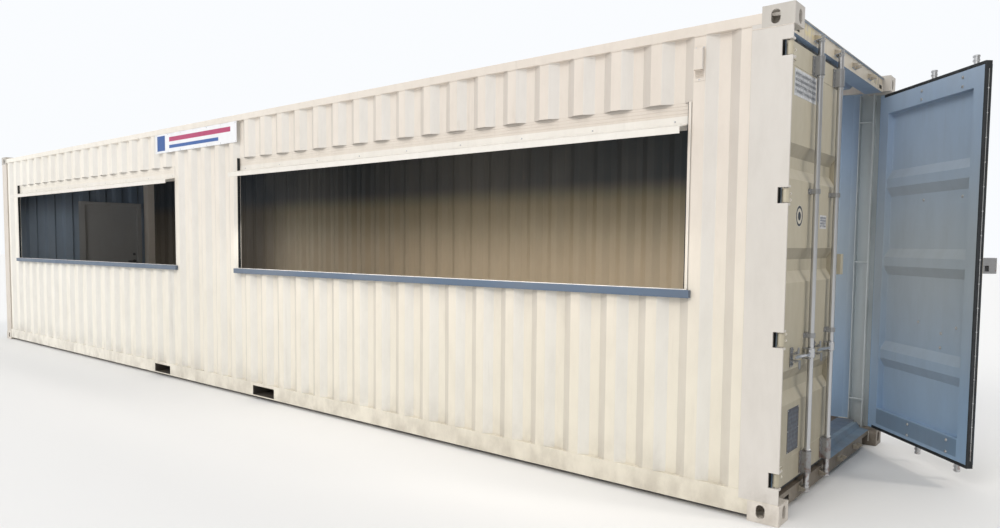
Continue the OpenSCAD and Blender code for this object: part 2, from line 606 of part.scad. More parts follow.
module lock_rod(y) color(galv) {
  difference() {
    union() {
      rod(rod_x, -y, rod_z0, rod_z1, rod_r);
      for (z = [rod_z0 + 2, rod_z0 + 28, rod_z1 - 14, rod_z1 - 40]) translate([0, 0, z]) {
        rod(rod_x, -y, 0, 12, rod_r + 2);
        bx(rod_x - 9, rod_x + 9, -y - 34, -y, 0, 12);
      }
      // collars against the end bearings
      rod(rod_x, -y, leaf_z0 + 156, leaf_z0 + 166, rod_r + 5);
      rod(rod_x, -y, up_z - 16, up_z - 6, rod_r + 5);
      // handle hub and bar
      rod(rod_x, -y, handle_z - 28, handle_z + 28, rod_r + 7);
      bx(rod_x - 6, rod_x + 6, -y - handle_l, -y, handle_z - 12, handle_z + 12);
    }
    rod(rod_x, -y, rod_z0 + 60, rod_z1 - 60, rod_r - rod_wall);
    rod(rod_x, -y, rod_z0 - 1, rod_z0 + 61, 6);
    translate([rod_x - 30, -y - handle_l + 12, handle_z]) rotate([0, 90, 0]) cylinder(h = 60, r = 6, $fn = 24);
  }
}
// the far door is the same leaf turned over and swung open
module far_side() translate([pin_x, pin_y, 0]) rotate([0, 0, far_open]) translate([-pin_x, -pin_y, 0])
  mirror([0, 1, 0]) children();

module lockbox_near() color(cream) difference() {
  bx(leaf_x1, leaf_x1 + 44, -78, -22, 1392, 1528);
  bx(leaf_x1 - 1, leaf_x1 + 41, -75, -25, 1391, 1525);
}
module lockbox_far() color(galv) difference() {
  bx(leaf_x1, leaf_x1 + 96, -100, -22, 1410, 1512);
  bx(leaf_x1 - 1, leaf_x1 + 92, -96, -26, 1409, 1508);
  bx(leaf_x1 + 18, leaf_x1 + 46, -27, -21, 1424, 1462);
}

castings(1, false);  // castings_bottom_door
castings(-1, false);  // castings_bottom_blind
castings(1, true);  // castings_top_door
castings(-1, true);  // castings_top_blind
post_door();  // post_door_near
mirror([0, 1, 0]) post_door();  // post_door_far
post_blind();  // post_blind_near
mirror([0, 1, 0]) post_blind();  // post_blind_far
door_header();
door_sill();
blind_top_rail();
blind_bottom_rail();
bottom_rail();  // bottom_rail_near
mirror([0, 1, 0]) bottom_rail();  // bottom_rail_far
top_rail();  // top_rail_near
mirror([0, 1, 0]) top_rail();  // top_rail_far
cross_run(-cx + 4, fork_a - fork_hw - 8);  // cross_members_blind
cross_run(fork_a + fork_hw + 8, fork_b - fork_hw - 8);  // cross_members_mid
cross_run(fork_b + fork_hw + 8, post_x0 - 4);  // cross_members_door
fork_pocket(fork_a);  // fork_pocket_blind
fork_pocket(fork_b);  // fork_pocket_door
floor_deck();
threshold_plate();
color(cream) side_sheet(wall_x0, wall_x1, rail_z1, sill_z0);  // wall_near_low
color(cream) side_sheet(wall_x0, wall_x1, wtop_z, trail_z0);  // wall_near_top
color(cream) side_sheet(wall_x0, pier1, sill_z0, wtop_z);  // wall_near_blind
color(cream) side_sheet(pier2, pier3, sill_z0, wtop_z);  // wall_near_mid
color(cream) side_sheet(pier4, wall_x1, sill_z0, wtop_z);  // wall_near_door
wall_far();
color(darkblue) end_sheet(-end_post_y, man_y0, floor_z, ztop);  // wall_blind_near
color(darkblue) end_sheet(man_y1, end_post_y, floor_z, ztop);  // wall_blind_far
color(darkblue) end_sheet(man_y0, man_y1, man_z1, ztop);  // wall_blind_over
roof_panel();
window_frame(win1_x0, win1_x1);  // window_frame_1
window_frame(win2_x0, win2_x1);  // window_frame_2
window_sill(win1_x0, win1_x1);  // window_sill_1
window_sill(win2_x0, win2_x1);  // window_sill_2
shutter_bar(win1_x0, win1_x1);  // shutter_bar_1
shutter_bar(win2_x0, win2_x1);  // shutter_bar_2
shutter_hood(win1_x0, win1_x1);  // shutter_hood_1
shutter_hood(win2_x0, win2_x1);  // shutter_hood_2
sign_board();
vent_cover();
man_door_frame();
man_door_leaf();
man_door_lever();
man_door_lockset();
union() { cargo_leaf(); lockbox_near(); }  // cargo_leaf_near
cargo_gasket();  // cargo_gasket_near
color(galv) rod_brackets();  // rod_brackets_near
lock_rod(rod_out_y);  // lock_rod_near_1
lock_rod(rod_in_y);  // lock_rod_near_2
far_side() cargo_leaf();  // cargo_leaf_far
far_side() cargo_gasket();  // cargo_gasket_far
color(galv) far_side() { rod_brackets(); lockbox_far(); }  // rod_brackets_far
far_side() lock_rod(rod_out_y);  // lock_rod_far_1
far_side() lock_rod(rod_in_y);  // lock_rod_far_2
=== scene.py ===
import math
import bpy
import bmesh
from mathutils import Matrix, Vector, noise


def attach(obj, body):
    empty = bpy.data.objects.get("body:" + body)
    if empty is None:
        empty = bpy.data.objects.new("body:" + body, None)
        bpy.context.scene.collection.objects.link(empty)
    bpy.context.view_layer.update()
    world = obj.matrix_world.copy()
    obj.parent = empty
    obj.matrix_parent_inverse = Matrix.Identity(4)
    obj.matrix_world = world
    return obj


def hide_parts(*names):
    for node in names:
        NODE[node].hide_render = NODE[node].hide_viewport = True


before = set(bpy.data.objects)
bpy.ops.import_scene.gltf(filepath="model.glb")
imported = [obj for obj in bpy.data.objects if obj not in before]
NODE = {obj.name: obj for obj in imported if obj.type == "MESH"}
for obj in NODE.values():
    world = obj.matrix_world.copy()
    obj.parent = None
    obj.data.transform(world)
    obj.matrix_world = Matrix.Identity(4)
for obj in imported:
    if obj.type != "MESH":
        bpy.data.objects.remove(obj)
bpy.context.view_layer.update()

scene = bpy.context.scene
link = scene.collection.objects.link

# ---------------------------------------------------------------- sizes shared with the CAD, in metres
CREST_Y = 1.209                  # outer crests of the side walls
SHEET = 0.002                    # thickness of the corrugated sheets
CAST_X = 5.918                   # inner face of the castings
POST_X = 5.865                   # inner edge of the door posts
LEAF_X = 6.034                   # outer face of the cargo doors
ROD_X = 6.070                    # axis of the lock rods
HEAD_X = 6.040                   # front face of the door header and sill
FLUSH_Y = 1.2188                 # no weld bead stands out past this
PIN = Vector((6.066, 1.184, 0))  # hinge pin of the far door
FAR_OPEN = math.radians(42)      # the far door stands open in the rest pose
BANDS = (0.748, 1.465, 2.065)    # middle heights of the pressed bands of the doors
BAND_FOOT, BAND_FLAT, BAND_DEPTH = 0.102, 0.034, 0.038

# ---------------------------------------------------------------- camera
cam_data = bpy.data.cameras.new("camera")
cam = bpy.data.objects.new("camera", cam_data)
link(cam)
CAMERA_AT = (7.442, -5.445, 1.576)
LOOK = (-0.6485, 0.7587, -0.0622)
SIDEWAYS = (0.7598, 0.6501, 0.0073)
fwd = Vector(LOOK).normalized()
right = Vector(SIDEWAYS)
right = (right - fwd * right.dot(fwd)).normalized()
up = right.cross(fwd)
rot = Matrix((right, up, -fwd)).transposed()
cam.matrix_world = Matrix.Translation(CAMERA_AT) @ rot.to_4x4()
cam_data.sensor_width = 36
cam_data.lens = 26.816
cam_data.shift_x = 0.0272
cam_data.shift_y = 0.0265
cam_data.clip_start, cam_data.clip_end = 0.05, 300
scene.camera = cam

# ---------------------------------------------------------------- stage and light
scene.view_settings.view_transform = "Standard"
world = bpy.data.worlds.new("studio")
scene.world = world
world.use_nodes = True
wt = world.node_tree
sky = wt.nodes["Background"]
sky.inputs[1].default_value = 1.0
# a pale sky all round, dimmer and warmer beyond the cargo doors
wdir = wt.nodes.new("ShaderNodeTexCoord")
wsep = wt.nodes.new("ShaderNodeVectorMath")
wsep.operation = "DOT_PRODUCT"
wsep.inputs[1].default_value = (0.94, -0.10, -0.33)
wt.links.new(wdir.outputs["Generated"], wsep.inputs[0])
wmap = wt.nodes.new("ShaderNodeMapRange")
wmap.interpolation_type = "SMOOTHSTEP"
wmap.inputs[1].default_value, wmap.inputs[2].default_value = -0.05, 0.85
wt.links.new(wsep.outputs["Value"], wmap.inputs[0])
wmix = wt.nodes.new("ShaderNodeMix")
wmix.data_type = "RGBA"
wmix.inputs[6].default_value = (0.955, 0.975, 1.0, 1)
wmix.inputs[7].default_value = (0.27, 0.26, 0.245, 1)
wt.links.new(wmap.outputs[0], wmix.inputs[0])
wt.links.new(wmix.outputs[2], sky.inputs[0])


def sun(name, direction, strength, colour, angle):
    d = bpy.data.lights.new(name, "SUN")
    d.energy, d.color, d.angle = strength, colour, math.radians(angle)
    o = bpy.data.objects.new(name, d)
    o.rotation_mode = "QUATERNION"
    o.rotation_quaternion = Vector(direction).to_track_quat("-Z", "Y")
    link(o)


sun("key", (0.06, 0.86, -0.55), 1.0, (1.0, 0.955, 0.89), 26)
sun("fill", (-1.0, -0.34, -1.0), 0.62, (1.0, 0.93, 0.84), 10)


def panel(name, at, direction, size, power, colour):
    """A soft light in an opening, which lifts the room."""
    d = bpy.data.lights.new(name, "AREA")
    d.shape, d.size, d.size_y, d.energy, d.color = "RECTANGLE", size[0], size[1], power, colour
    o = bpy.data.objects.new(name, d)
    o.location = at
    o.rotation_mode = "QUATERNION"
    o.rotation_quaternion = Vector(direction).to_track_quat("-Z", "Y")
    o.visible_camera = False
    o.visible_glossy = False
    link(o)


panel("window_glow_1", (-3.05, -1.12, 1.85), (0, 1, -0.55), (4.6, 0.8), 20, (0.97, 0.97, 0.95))
panel("window_glow_2", (3.05, -1.12, 1.85), (0, 1, -1.1), (4.6, 0.8), 42, (1.0, 0.93, 0.84))
panel("doorway_glow", (5.90, 0.55, 1.45), (-1, 0.25, -0.1), (0.9, 2.2), 3, (0.92, 0.96, 1.0))

# ---------------------------------------------------------------- materials


def srgb(r, g, b):
    def f(c):
        c /= 255
        return c / 12.92 if c <= 0.04045 else ((c + 0.055) / 1.055) ** 2.4
    return (f(r), f(g), f(b), 1)


class Mat:
    """A node material in the part's own coordinates."""

    def __init__(self, name, rough=0.5, metal=0.0, turned=False):
        self.m = bpy.data.materials.new(name)
        self.m.use_nodes = True
        self.t = self.m.node_tree
        self.t.nodes.clear()
        out = self.add("OutputMaterial")
        self.p = self.add("BsdfPrincipled")
        self.t.links.new(self.p.outputs[0], out.inputs[0])
        self.p.inputs["Roughness"].default_value = rough
        self.p.inputs["Metallic"].default_value = metal
        tc = self.add("TexCoord")
        self.co, self.normal = tc.outputs["Object"], tc.outputs["Normal"]
        if turned:
            # the far leaf stands open: read it as if it were closed
            self.co = self.turn(self.co, PIN)
            self.normal = self.turn(self.normal, (0, 0, 0))
        self.bumps = None

    def turn(self, v, centre):
        n = self.add("VectorRotate", rotation_type="Z_AXIS")
        self.put(n.inputs["Vector"], v)
        n.inputs["Center"].default_value = centre
        n.inputs["Angle"].default_value = -FAR_OPEN
        return n.outputs[0]

    def add(self, kind, **kw):
        n = self.t.nodes.new("ShaderNode" + kind)
        for k, v in kw.items():
            setattr(n, k, v)
        return n

    def put(self, sock, v):
        if isinstance(v, bpy.types.NodeSocket):
            self.t.links.new(v, sock)
        else:
            sock.default_value = v

    def scaled(self, s, co=None):
        n = self.add("VectorMath", operation="MULTIPLY")
        self.put(n.inputs[0], co or self.co)
        n.inputs[1].default_value = s
        return n.outputs[0]

    def noise(self, scale, stretch=(1, 1, 1), detail=4, rough=0.55, co=None, offset=None):
        v = self.scaled(stretch, co)
        if offset is not None:
            n = self.add("VectorMath", operation="ADD")
            self.put(n.inputs[0], v)
            n.inputs[1].default_value = offset
            v = n.outputs[0]
        n = self.add("TexNoise")
        self.put(n.inputs["Vector"], v)
        n.inputs["Scale"].default_value = scale
        n.inputs["Detail"].default_value = detail
        n.inputs["Roughness"].default_value = rough
        return n.outputs[0]

    def cells(self, scale, stretch=(1, 1, 1), out="Color", co=None):
        n = self.add("TexVoronoi")
        self.put(n.inputs["Vector"], self.scaled(stretch, co))
        n.inputs["Scale"].default_value = scale
        return n.outputs[out]

    def math(self, op, a, b=0.0, c=None):
        n = self.add("Math", operation=op)
        self.put(n.inputs[0], a)
        self.put(n.inputs[1], b)
        if c is not None:
            self.put(n.inputs[2], c)
        return n.outputs[0]

    def mul(self, *v):
        out = v[0]
        for x in v[1:]:
            out = self.math("MULTIPLY", out, x)
        return out

    def range(self, x, a, b, lo=0.0, hi=1.0, smooth=True):
        n = self.add("MapRange", interpolation_type="SMOOTHSTEP" if smooth else "LINEAR")
        self.put(n.inputs[0], x)
        for i, v in enumerate((a, b, lo, hi)):
            n.inputs[i + 1].default_value = v
        return n.outputs[0]

    def axis(self, k, v=None):
        n = self.add("SeparateXYZ")
        self.put(n.inputs[0], v or self.co)
        return n.outputs[k]

    def between(self, v, a, b, soft=0.001):
        return self.mul(self.range(v, a - soft, a + soft), self.range(v, b - soft, b + soft, 1, 0))

    def mix(self, f, a, b, mode="MIX"):
        n = self.add("Mix", data_type="RGBA", blend_type=mode)
        self.put(n.inputs[0], f)
        self.put(n.inputs[6], a)
        self.put(n.inputs[7], b)
        return n.outputs[2]

    def bump(self, h, dist, strength=1.0):
        n = self.add("Bump")
        n.inputs["Strength"].default_value = strength
        n.inputs["Distance"].default_value = dist
        self.put(n.inputs["Height"], h)
        if self.bumps is not None:
            self.put(n.inputs["Normal"], self.bumps)
        self.bumps = n.outputs[0]

    def done(self, colour, rough=None):
        self.put(self.p.inputs["Base Color"], colour)
        if rough is not None:
            self.put(self.p.inputs["Roughness"], rough)
        if self.bumps is not None:
            self.put(self.p.inputs["Normal"], self.bumps)
        return self.m


RUST = srgb(112, 62, 36)
OCHRE = srgb(178, 138, 84)
DIRT = srgb(112, 100, 84)
CREAM_LOW = srgb(225, 218, 202)
CREAM_TOP = srgb(225, 215, 204)
BLUE_LOW = srgb(134, 164, 196)
BLUE_MID = srgb(158, 172, 184)
BLUE_TOP = srgb(148, 170, 196)


def cream_tone(m):
    """Cream, yellower at the foot and pinker at the top, paler towards the blind end.

    The flanks of the folds facing the doors carry a painted cool sky reflection, those facing the blind end a painted
    grey shade.
    """
    x, z = m.axis(0), m.axis(2)
    c = m.mix(m.range(z, 0.5, 2.3), CREAM_LOW, CREAM_TOP)
    c = m.mix(m.range(x, 4.5, -5.5, 0, 0.9, False), c, srgb(249, 245, 235))
    # painted reflection on flanks facing the doors, painted shade on flanks facing the blind end
    turn = m.axis(0, m.normal)
    c = m.mix(m.range(turn, 0.12, 0.4, 0, 0.5), c, srgb(232, 232, 230))
    return m.mix(m.range(turn, -0.12, -0.4, 0, 0.42), c, srgb(168, 162, 156))


def blue_tone(m):
    z = m.axis(2)
    return m.mix(m.range(z, 1.5, 2.5), m.mix(m.range(z, 0.3, 1.5), BLUE_LOW, BLUE_MID), BLUE_TOP)


def inner_tone(m):
    """Room paint, blue-grey by the doors; along the walls a painted warm light, paler low down.

    Part of the room's shade is painted in, overhead and by the blind end.
    """
    z, x = m.axis(2), m.axis(0)
    # painted warm light on the lower walls, painted shade higher up and towards the blind end
    warm = m.mix(m.range(z, 1.25, 2.10), srgb(206, 190, 164), srgb(128, 120, 98))
    warm = m.mix(m.range(x, -1.4, -2.8, 0, 0.85), warm, srgb(58, 54, 52))
    c = m.mix(m.range(x, 5.3, 4.6), blue_tone(m), warm)
    return m.mix(m.mul(m.range(z, 1.98, 2.26), m.range(x, 5.4, 4.8), 0.9), c, srgb(40, 50, 60))


def end_tone(m):
    # room paint of the blind end, with painted shade darkening it towards the top
    return m.mix(m.range(m.axis(2), 1.9, 2.35, 0, 0.7), srgb(150, 168, 188), srgb(70, 82, 98))


def sides(outer, inner, mask):
    return lambda m: m.mix(mask(m), outer(m), inner(m))


def plain(a, b=None):
    return lambda m: m.mix(m.range(m.noise(0.55, (1, 1, 0.6), 3), 0.35, 0.65), a, b or a)


def paint(name, tone, rough=0.45, dirt=0.35, rust=0.5, streak=0.3, foot=0.42, grime_and_shade=None, turned=False):
    """Sprayed steel: tone, rain streaks, splash dirt at the foot, rust at chips, orange peel."""
    m = Mat(name, rough, turned=turned)
    c = tone(m)
    drift = m.noise(0.8, (1, 1, 0.5), 3, offset=(3, 1, 8))
    c = m.mix(m.range(drift, 0.35, 0.7, 0, 0.10), c, srgb(200, 190, 172))
    fine = m.noise(9, (1, 1, 0.35), 5, 0.65)
    c = m.mix(m.range(fine, 0.3, 0.85, 0.0, 0.10), c, DIRT)
    run = m.noise(15, (1, 1, 0.045), 4, 0.6)
    c = m.mix(m.mul(m.range(run, 0.56, 0.82, 0, streak), m.range(m.noise(1.3), 0.42, 0.68)), c, DIRT)
    z = m.axis(2)
    foot_mask = m.mul(m.range(z, foot, 0.02), m.range(m.noise(7, (1, 1, 0.7), 6, 0.6), 0.30, 0.72), dirt)
    c = m.mix(foot_mask, c, DIRT)
    # darkening passed in by the caller: grime and other darkening, and painted shade of the uncut header slots
    if grime_and_shade is not None:
        c = m.mix(grime_and_shade(m), c, srgb(98, 88, 76))
    speck = m.range(m.noise(48, detail=6, rough=0.7), 0.715, 0.775)
    mask = m.mul(speck, m.range(m.noise(2.3, offset=(7, 3, 1)), 0.46, 0.62), rust)
    stain = m.noise(17, (1, 1, 0.22), 5, 0.6, offset=(2, 2, 2))
    halo = m.mul(m.range(stain, 0.64, 0.76), m.range(m.noise(1.9, offset=(7, 3, 1)), 0.5, 0.66), 0.35 * rust)
    c = m.mix(halo, c, OCHRE)
    c = m.mix(mask, c, RUST)
    m.bump(m.noise(240, detail=2), 0.0005, 0.22)
    m.bump(m.noise(2.2, detail=2), 0.005, 0.2)
    m.bump(m.math("MULTIPLY", mask, -1.0), 0.0006, 0.5)
    r = m.math("ADD", m.range(fine, 0.3, 0.8, rough - 0.06, rough + 0.12), m.mul(mask, 0.35))
    return m.done(c, r)


cream = paint("cream_paint", cream_tone, 0.42)
inner = paint("inner_paint", inner_tone, 0.5, rust=0.25, dirt=0.15)
inner_end = paint("inner_end_paint", end_tone, 0.5, rust=0.2, dirt=0.15)
white = paint("white_paint", plain(srgb(236, 231, 222), srgb(238, 234, 227)), 0.38, rust=0.15, streak=0.2)
blue = paint("blue_grey_paint", plain(srgb(88, 106, 127), srgb(83, 101, 123)), 0.42, rust=0.2)
grey = paint("grey_paint", plain(srgb(158, 158, 158), srgb(150, 151, 153)), 0.45, rust=0.1)
under = paint("underframe_paint", plain(srgb(58, 64, 72), srgb(66, 66, 66)), 0.6, rust=1.0, dirt=0.7)
pink = paint("post_paint", plain(srgb(221, 212, 202), srgb(217, 208, 196)), 0.42, rust=0.45, dirt=0.45)


def behind_panel(m):
    """1 on the room side of a door leaf, following the pressed bands."""
    z = m.axis(2)
    depth = 0.0
    for band in BANDS:
        off = m.math("ABSOLUTE", m.math("SUBTRACT", z, band))
        depth = m.math("ADD", m.range(off, BAND_FOOT, BAND_FLAT, 0.0, BAND_DEPTH, False), depth)
    front = m.math("SUBTRACT", 6.0328, depth)
    return m.range(m.math("SUBTRACT", m.axis(0), front), 0.0004, -0.0004)


def band_shade(m, c):
    """Painted shade under the pressed bands and a painted highlight on their upper slopes, to bring out the relief."""
    lean = m.axis(2, m.normal)
    c = m.mix(m.range(lean, -0.15, -0.5, 0, 0.4), c, srgb(96, 88, 76))
    return m.mix(m.range(lean, 0.15, 0.5, 0, 0.25), c, srgb(226, 218, 200))


def door_tone(m):
    # door paint darker than the side walls and darker towards the foot: painted shade
    c = m.mix(m.range(m.axis(2), 1.9, 0.3), srgb(190, 182, 161), srgb(171, 164, 144))
    return band_shade(m, c)


def room_side_tone(m):
    """Room paint of the leaves, darker on the bottom member."""
    across = m.math("ABSOLUTE", m.axis(1))
    foot = m.mul(m.between(m.axis(2), 0.19, 0.306, 0.004), m.between(across, 0.113, 1.05, 0.004))
    return m.mix(foot, blue_tone(m), srgb(100, 128, 156))


leaf_near = paint("door_paint_near", sides(door_tone, room_side_tone, behind_panel), 0.45, rust=0.6, foot=0.9, dirt=0.3)
leaf_far = paint("door_paint_far", sides(door_tone, room_side_tone, behind_panel), 0.45, rust=0.35, dirt=0.15, turned=True)


def inside_post(m):
    """1 on the room side of the door posts, where the room paint ends."""
    y = m.axis(1)
    near = m.mul(m.range(y, -1.2135, -1.2125), m.range(y, 0.1, 0.0), m.range(m.axis(0), 5.9735, 5.9725))
    far = m.mul(m.range(y, 1.2135, 1.2125), m.range(y, 0.0, 0.1), m.range(m.axis(0), 6.052, 6.050))
    return m.math("MAXIMUM", near, far)


post = paint("door_post_paint",
             sides(plain(srgb(214, 209, 204), srgb(210, 205, 198)), plain(srgb(168, 183, 194), srgb(178, 187, 191)), inside_post),
             0.42, rust=0.45, dirt=0.45)


def under_header(m):
    """1 on the underside and the room side of the header."""
    return m.math("MAXIMUM", m.range(m.axis(2, m.normal), -0.5, -0.6), m.range(m.axis(0, m.normal), -0.5, -0.6))


def header_grime_and_slot_shade(m):
    """Rain line along the top, yellow-brown runs by the castings, darker keepers, and dark marks that are painted shade
    of the slots not cut.
    """
    z, y = m.axis(2), m.math("ABSOLUTE", m.axis(1))
    edge = m.mul(m.range(z, 2.862, 2.874), m.range(m.noise(9, detail=5), 0.25, 0.6, 0.35, 0.8))
    run = m.mul(m.range(m.noise(22, (1, 1, 0.06), 4), 0.5, 0.72), m.range(y, 0.55, 0.85), 0.35)
    # painted shade of the slots that are not cut, as dark marks
    marks = 0.0
    for at, wide in ((0.795, 0.012), (0.845, 0.014), (0.905, 0.008)):
        mark = m.mul(m.between(m.axis(1), at - wide, at + wide, 0.004), m.between(z, 2.800, 2.842, 0.004), 0.7)
        marks = m.math("MAXIMUM", mark, marks)
    keeper = m.range(m.axis(0), 6.0405, 6.0450, 0.0, 0.45)
    return m.math("MAXIMUM", m.math("MAXIMUM", edge, run), m.math("MAXIMUM", marks, keeper))


def header_tone(m):
    """Door paint with the yellowed patches beside the castings."""
    c = plain(srgb(212, 202, 184), srgb(206, 196, 178))(m)
    y, z = m.math("ABSOLUTE", m.axis(1)), m.axis(2)
    blotch = m.range(m.noise(26, detail=3), 0.42, 0.55, 0, 0.75)
    patch = m.mul(m.between(y, 0.69, 0.87, 0.02), m.between(z, 2.80, 2.862, 0.008), blotch)
    return m.mix(patch, c, srgb(224, 208, 150))


header = paint("header_paint", sides(header_tone, blue_tone, under_header), 0.45, rust=0.3,
               grime_and_shade=lambda m: m.mul(header_grime_and_slot_shade(m), m.range(under_header(m), 1, 0)))


def behind_sill_face(m, low=0.0, high=1.0):
    """Rises from low to high just behind the front face of the sill."""
    return m.range(m.axis(0), HEAD_X + 0.0012, HEAD_X + 0.0004, low, high)


def sill_top(m):
    """The upper side of the sill in the open half of the doorway."""
    return m.mul(m.range(m.axis(2, m.normal), 0.3, 0.5), m.range(m.axis(1), -0.012, -0.002), behind_sill_face(m))


def sill_black_line(m):
    """Black line on the sill under the closed door."""
    return m.mul(m.range(m.axis(2, m.normal), 0.3, 0.5), m.range(m.axis(1), -0.002, -0.012), behind_sill_face(m))


def sill_front_darkening(m):
    # blotchy darkening of the sill front, stronger towards the far side
    y = m.axis(1)
    spread = m.range(m.noise(11, (1, 0.6, 1), 6, 0.65), 0.15, 0.6, 0.55, 0.95)
    return m.mul(spread, m.range(y, -1.1, -0.5, 0.45, 0.95), behind_sill_face(m, 0.12))


def sill_dark(m):
    """Blotchy darkening on the cream part of the sill, and the black line."""
    return m.math("MAXIMUM", m.mul(sill_front_darkening(m), m.range(sill_top(m), 1, 0)), sill_black_line(m))


sill_paint = paint("door_sill_paint",
                   sides(plain(srgb(158, 150, 136), srgb(150, 143, 130)), plain(srgb(112, 138, 164), srgb(120, 142, 162)), sill_top),
                   0.55, rust=1.0, dirt=0.4, grime_and_shade=sill_dark)


def far_casting_darkening(m):
    """Blotchy darkening low down on the far bottom castings."""
    blotch = m.range(m.noise(13, detail=6, rough=0.65), 0.2, 0.6, 0.72, 0.95)
    return m.mul(m.range(m.axis(1), 0.2, 1.0), blotch, m.range(m.axis(2), 0.5, 0.2))


def cast_tone(m):
    return m.mix(m.range(m.axis(2), 0.3, 2.5), plain(srgb(228, 221, 213), srgb(223, 216, 206))(m), srgb(194, 189, 182))


cast_paint = paint("casting_paint", cast_tone, 0.5, rust=0.9, dirt=0.4, grime_and_shade=far_casting_darkening)


def galvanised(name, tone=200, rough=0.30, rusty=0.6, flakes=0.16, shine=0.7, wear=0.45, turned=False):
    m = Mat(name, rough, shine, turned=turned)
    spangle = m.axis(0, m.cells(260))
    pale, deep = srgb(tone, tone + 1, tone + 3), srgb(tone - 44, tone - 42, tone - 38)
    c = m.mix(m.range(spangle, 0, 1, 0, flakes, False), pale, deep)
    c = m.mix(m.range(m.noise(12, (1, 1, 0.3), 5), 0.42, 0.75, 0, wear), c, srgb(132, 130, 124))
    low = m.mul(m.range(m.axis(2), 0.45, 0.10), m.range(m.noise(30, detail=5), 0.45, 0.66), 0.7)
    spots = m.mul(m.range(m.noise(60, detail=5), 0.62, 0.70), m.range(m.noise(3), 0.48, 0.6), rusty)
    c = m.mix(m.math("MAXIMUM", low, spots), c, RUST)
    return m.done(c, m.range(m.noise(34, (1, 1, 0.4), 4), 0.3, 0.7, rough - 0.1 * wear, rough + 0.25 * wear))


galv = galvanised("galvanised")
dull = galvanised("galvanised_dull", 110, 0.45, 0.9)
fittings = galvanised("galvanised_fittings", 160, 0.36, 0.8)
bar = galvanised("galvanised_bar", 196, 0.30, 0.15, 0.02, 0.85, 0.08)


def rubber(name, turned=False):
    m = Mat(name, 0.6, turned=turned)
    c = m.mix(m.range(m.noise(20, (1, 1, 0.2), 5), 0.35, 0.75), srgb(20, 24, 28), srgb(42, 46, 50))
    if turned:
        # the hinge side is covered with the room paint
        c = m.mix(m.range(m.axis(1), 1.10, 1.11), c, blue_tone(m))
    m.bump(m.noise(180, detail=3), 0.0006, 0.4)
    return m.done(c, m.range(m.noise(30), 0.3, 0.7, 0.5, 0.75))


def plywood():
    m = Mat("floor_wood", 0.6)
    grain = m.noise(3.0, (1.2, 26, 1), 7, 0.65)
    c = m.mix(m.range(grain, 0.3, 0.7), srgb(84, 70, 58), srgb(118, 100, 82))
    c = m.mix(m.range(m.noise(1.2, detail=6), 0.40, 0.72, 0, 0.65), c, srgb(112, 106, 98))
    along = m.math("FRACT", m.math("DIVIDE", m.axis(0), 1.22))
    across = m.math("FRACT", m.math("DIVIDE", m.math("ADD", m.axis(1), 20.0), 0.61))
    seam = m.math("MAXIMUM", m.range(m.math("ABSOLUTE", m.math("SUBTRACT", along, 0.5)), 0.4975, 0.4985),
                  m.range(m.math("ABSOLUTE", m.math("SUBTRACT", across, 0.5)), 0.495, 0.497))
    c = m.mix(seam, c, srgb(30, 26, 22))
    m.bump(grain, 0.002, 0.4)
    m.bump(m.math("MULTIPLY", seam, -1.0), 0.002, 0.8)
    return m.done(c, m.range(m.noise(8), 0.3, 0.7, 0.5, 0.75))


rub = rubber("seal_rubber")
rub_far = rubber("seal_rubber_far", True)
wood = plywood()


def board():
    """Sign panel with plain colour bars in place of its lettering."""
    m = Mat("sign_panel", 0.35)
    x, z = m.axis(0), m.axis(2)
    c = m.mix(m.range(m.noise(5, (1, 1, 0.4), 5), 0.4, 0.8, 0, 0.12), srgb(238, 239, 242), DIRT)
    front = m.range(m.axis(1, m.normal), -0.5, -0.7)

    def bar(x0, x1, z0, z1, colour):
        nonlocal c
        c = m.mix(m.mul(m.between(x, x0, x1), m.between(z, z0, z1), front), c, colour)
    bar(-0.975, -0.795, 2.612, 2.782, srgb(38, 84, 152))
    bar(-0.700, 0.560, 2.706, 2.756, srgb(178, 58, 104))
    bar(-0.700, 0.330, 2.632, 2.668, srgb(48, 92, 160))
    m.bump(m.noise(90, detail=2), 0.0004, 0.2)
    return m.done(c, m.range(m.noise(20), 0.3, 0.7, 0.3, 0.45))


sign = board()


def label(name, ground, ink, x_axis, lines, border):
    """A weathered sticker: plain ground with ruled bars, no lettering."""
    m = Mat(name, 0.45)
    z = m.axis(2)
    c = m.mix(m.range(m.noise(40, detail=5), 0.35, 0.75, 0, 0.35), ground, DIRT)
    if lines:
        z0, z1, n = lines
        row = m.math("FRACT", m.math("MULTIPLY", m.math("SUBTRACT", z, z0), n / (z1 - z0)))
        y = m.axis(x_axis)
        inside = m.mul(m.between(y, border[0], border[1]), m.between(z, z0, z1))
        c = m.mix(m.mul(inside, m.range(m.noise(55, (1, 1, 1), 4, 0.7), 0.35, 0.65, 0.0, 0.55)), c, ink)
        worn = m.range(m.noise(14, (1, 1, 6), 3), 0.35, 0.5, 0.25, 0.75)
        c = m.mix(m.mul(m.between(row, 0.26, 0.76, 0.08), inside, worn), c, ink)
    m.bump(m.noise(120, detail=2), 0.0003, 0.2)
    return m.done(c, m.range(m.noise(30), 0.3, 0.7, 0.38, 0.55))

FAR = (Matrix.Translation(PIN) @ Matrix.Rotation(FAR_OPEN, 4, "Z") @ Matrix.Translation(-PIN)
       @ Matrix.Scale(-1, 4, (0, 1, 0)))
NEAR = Matrix.Identity(4)

# ---------------------------------------------------------------- mesh helpers


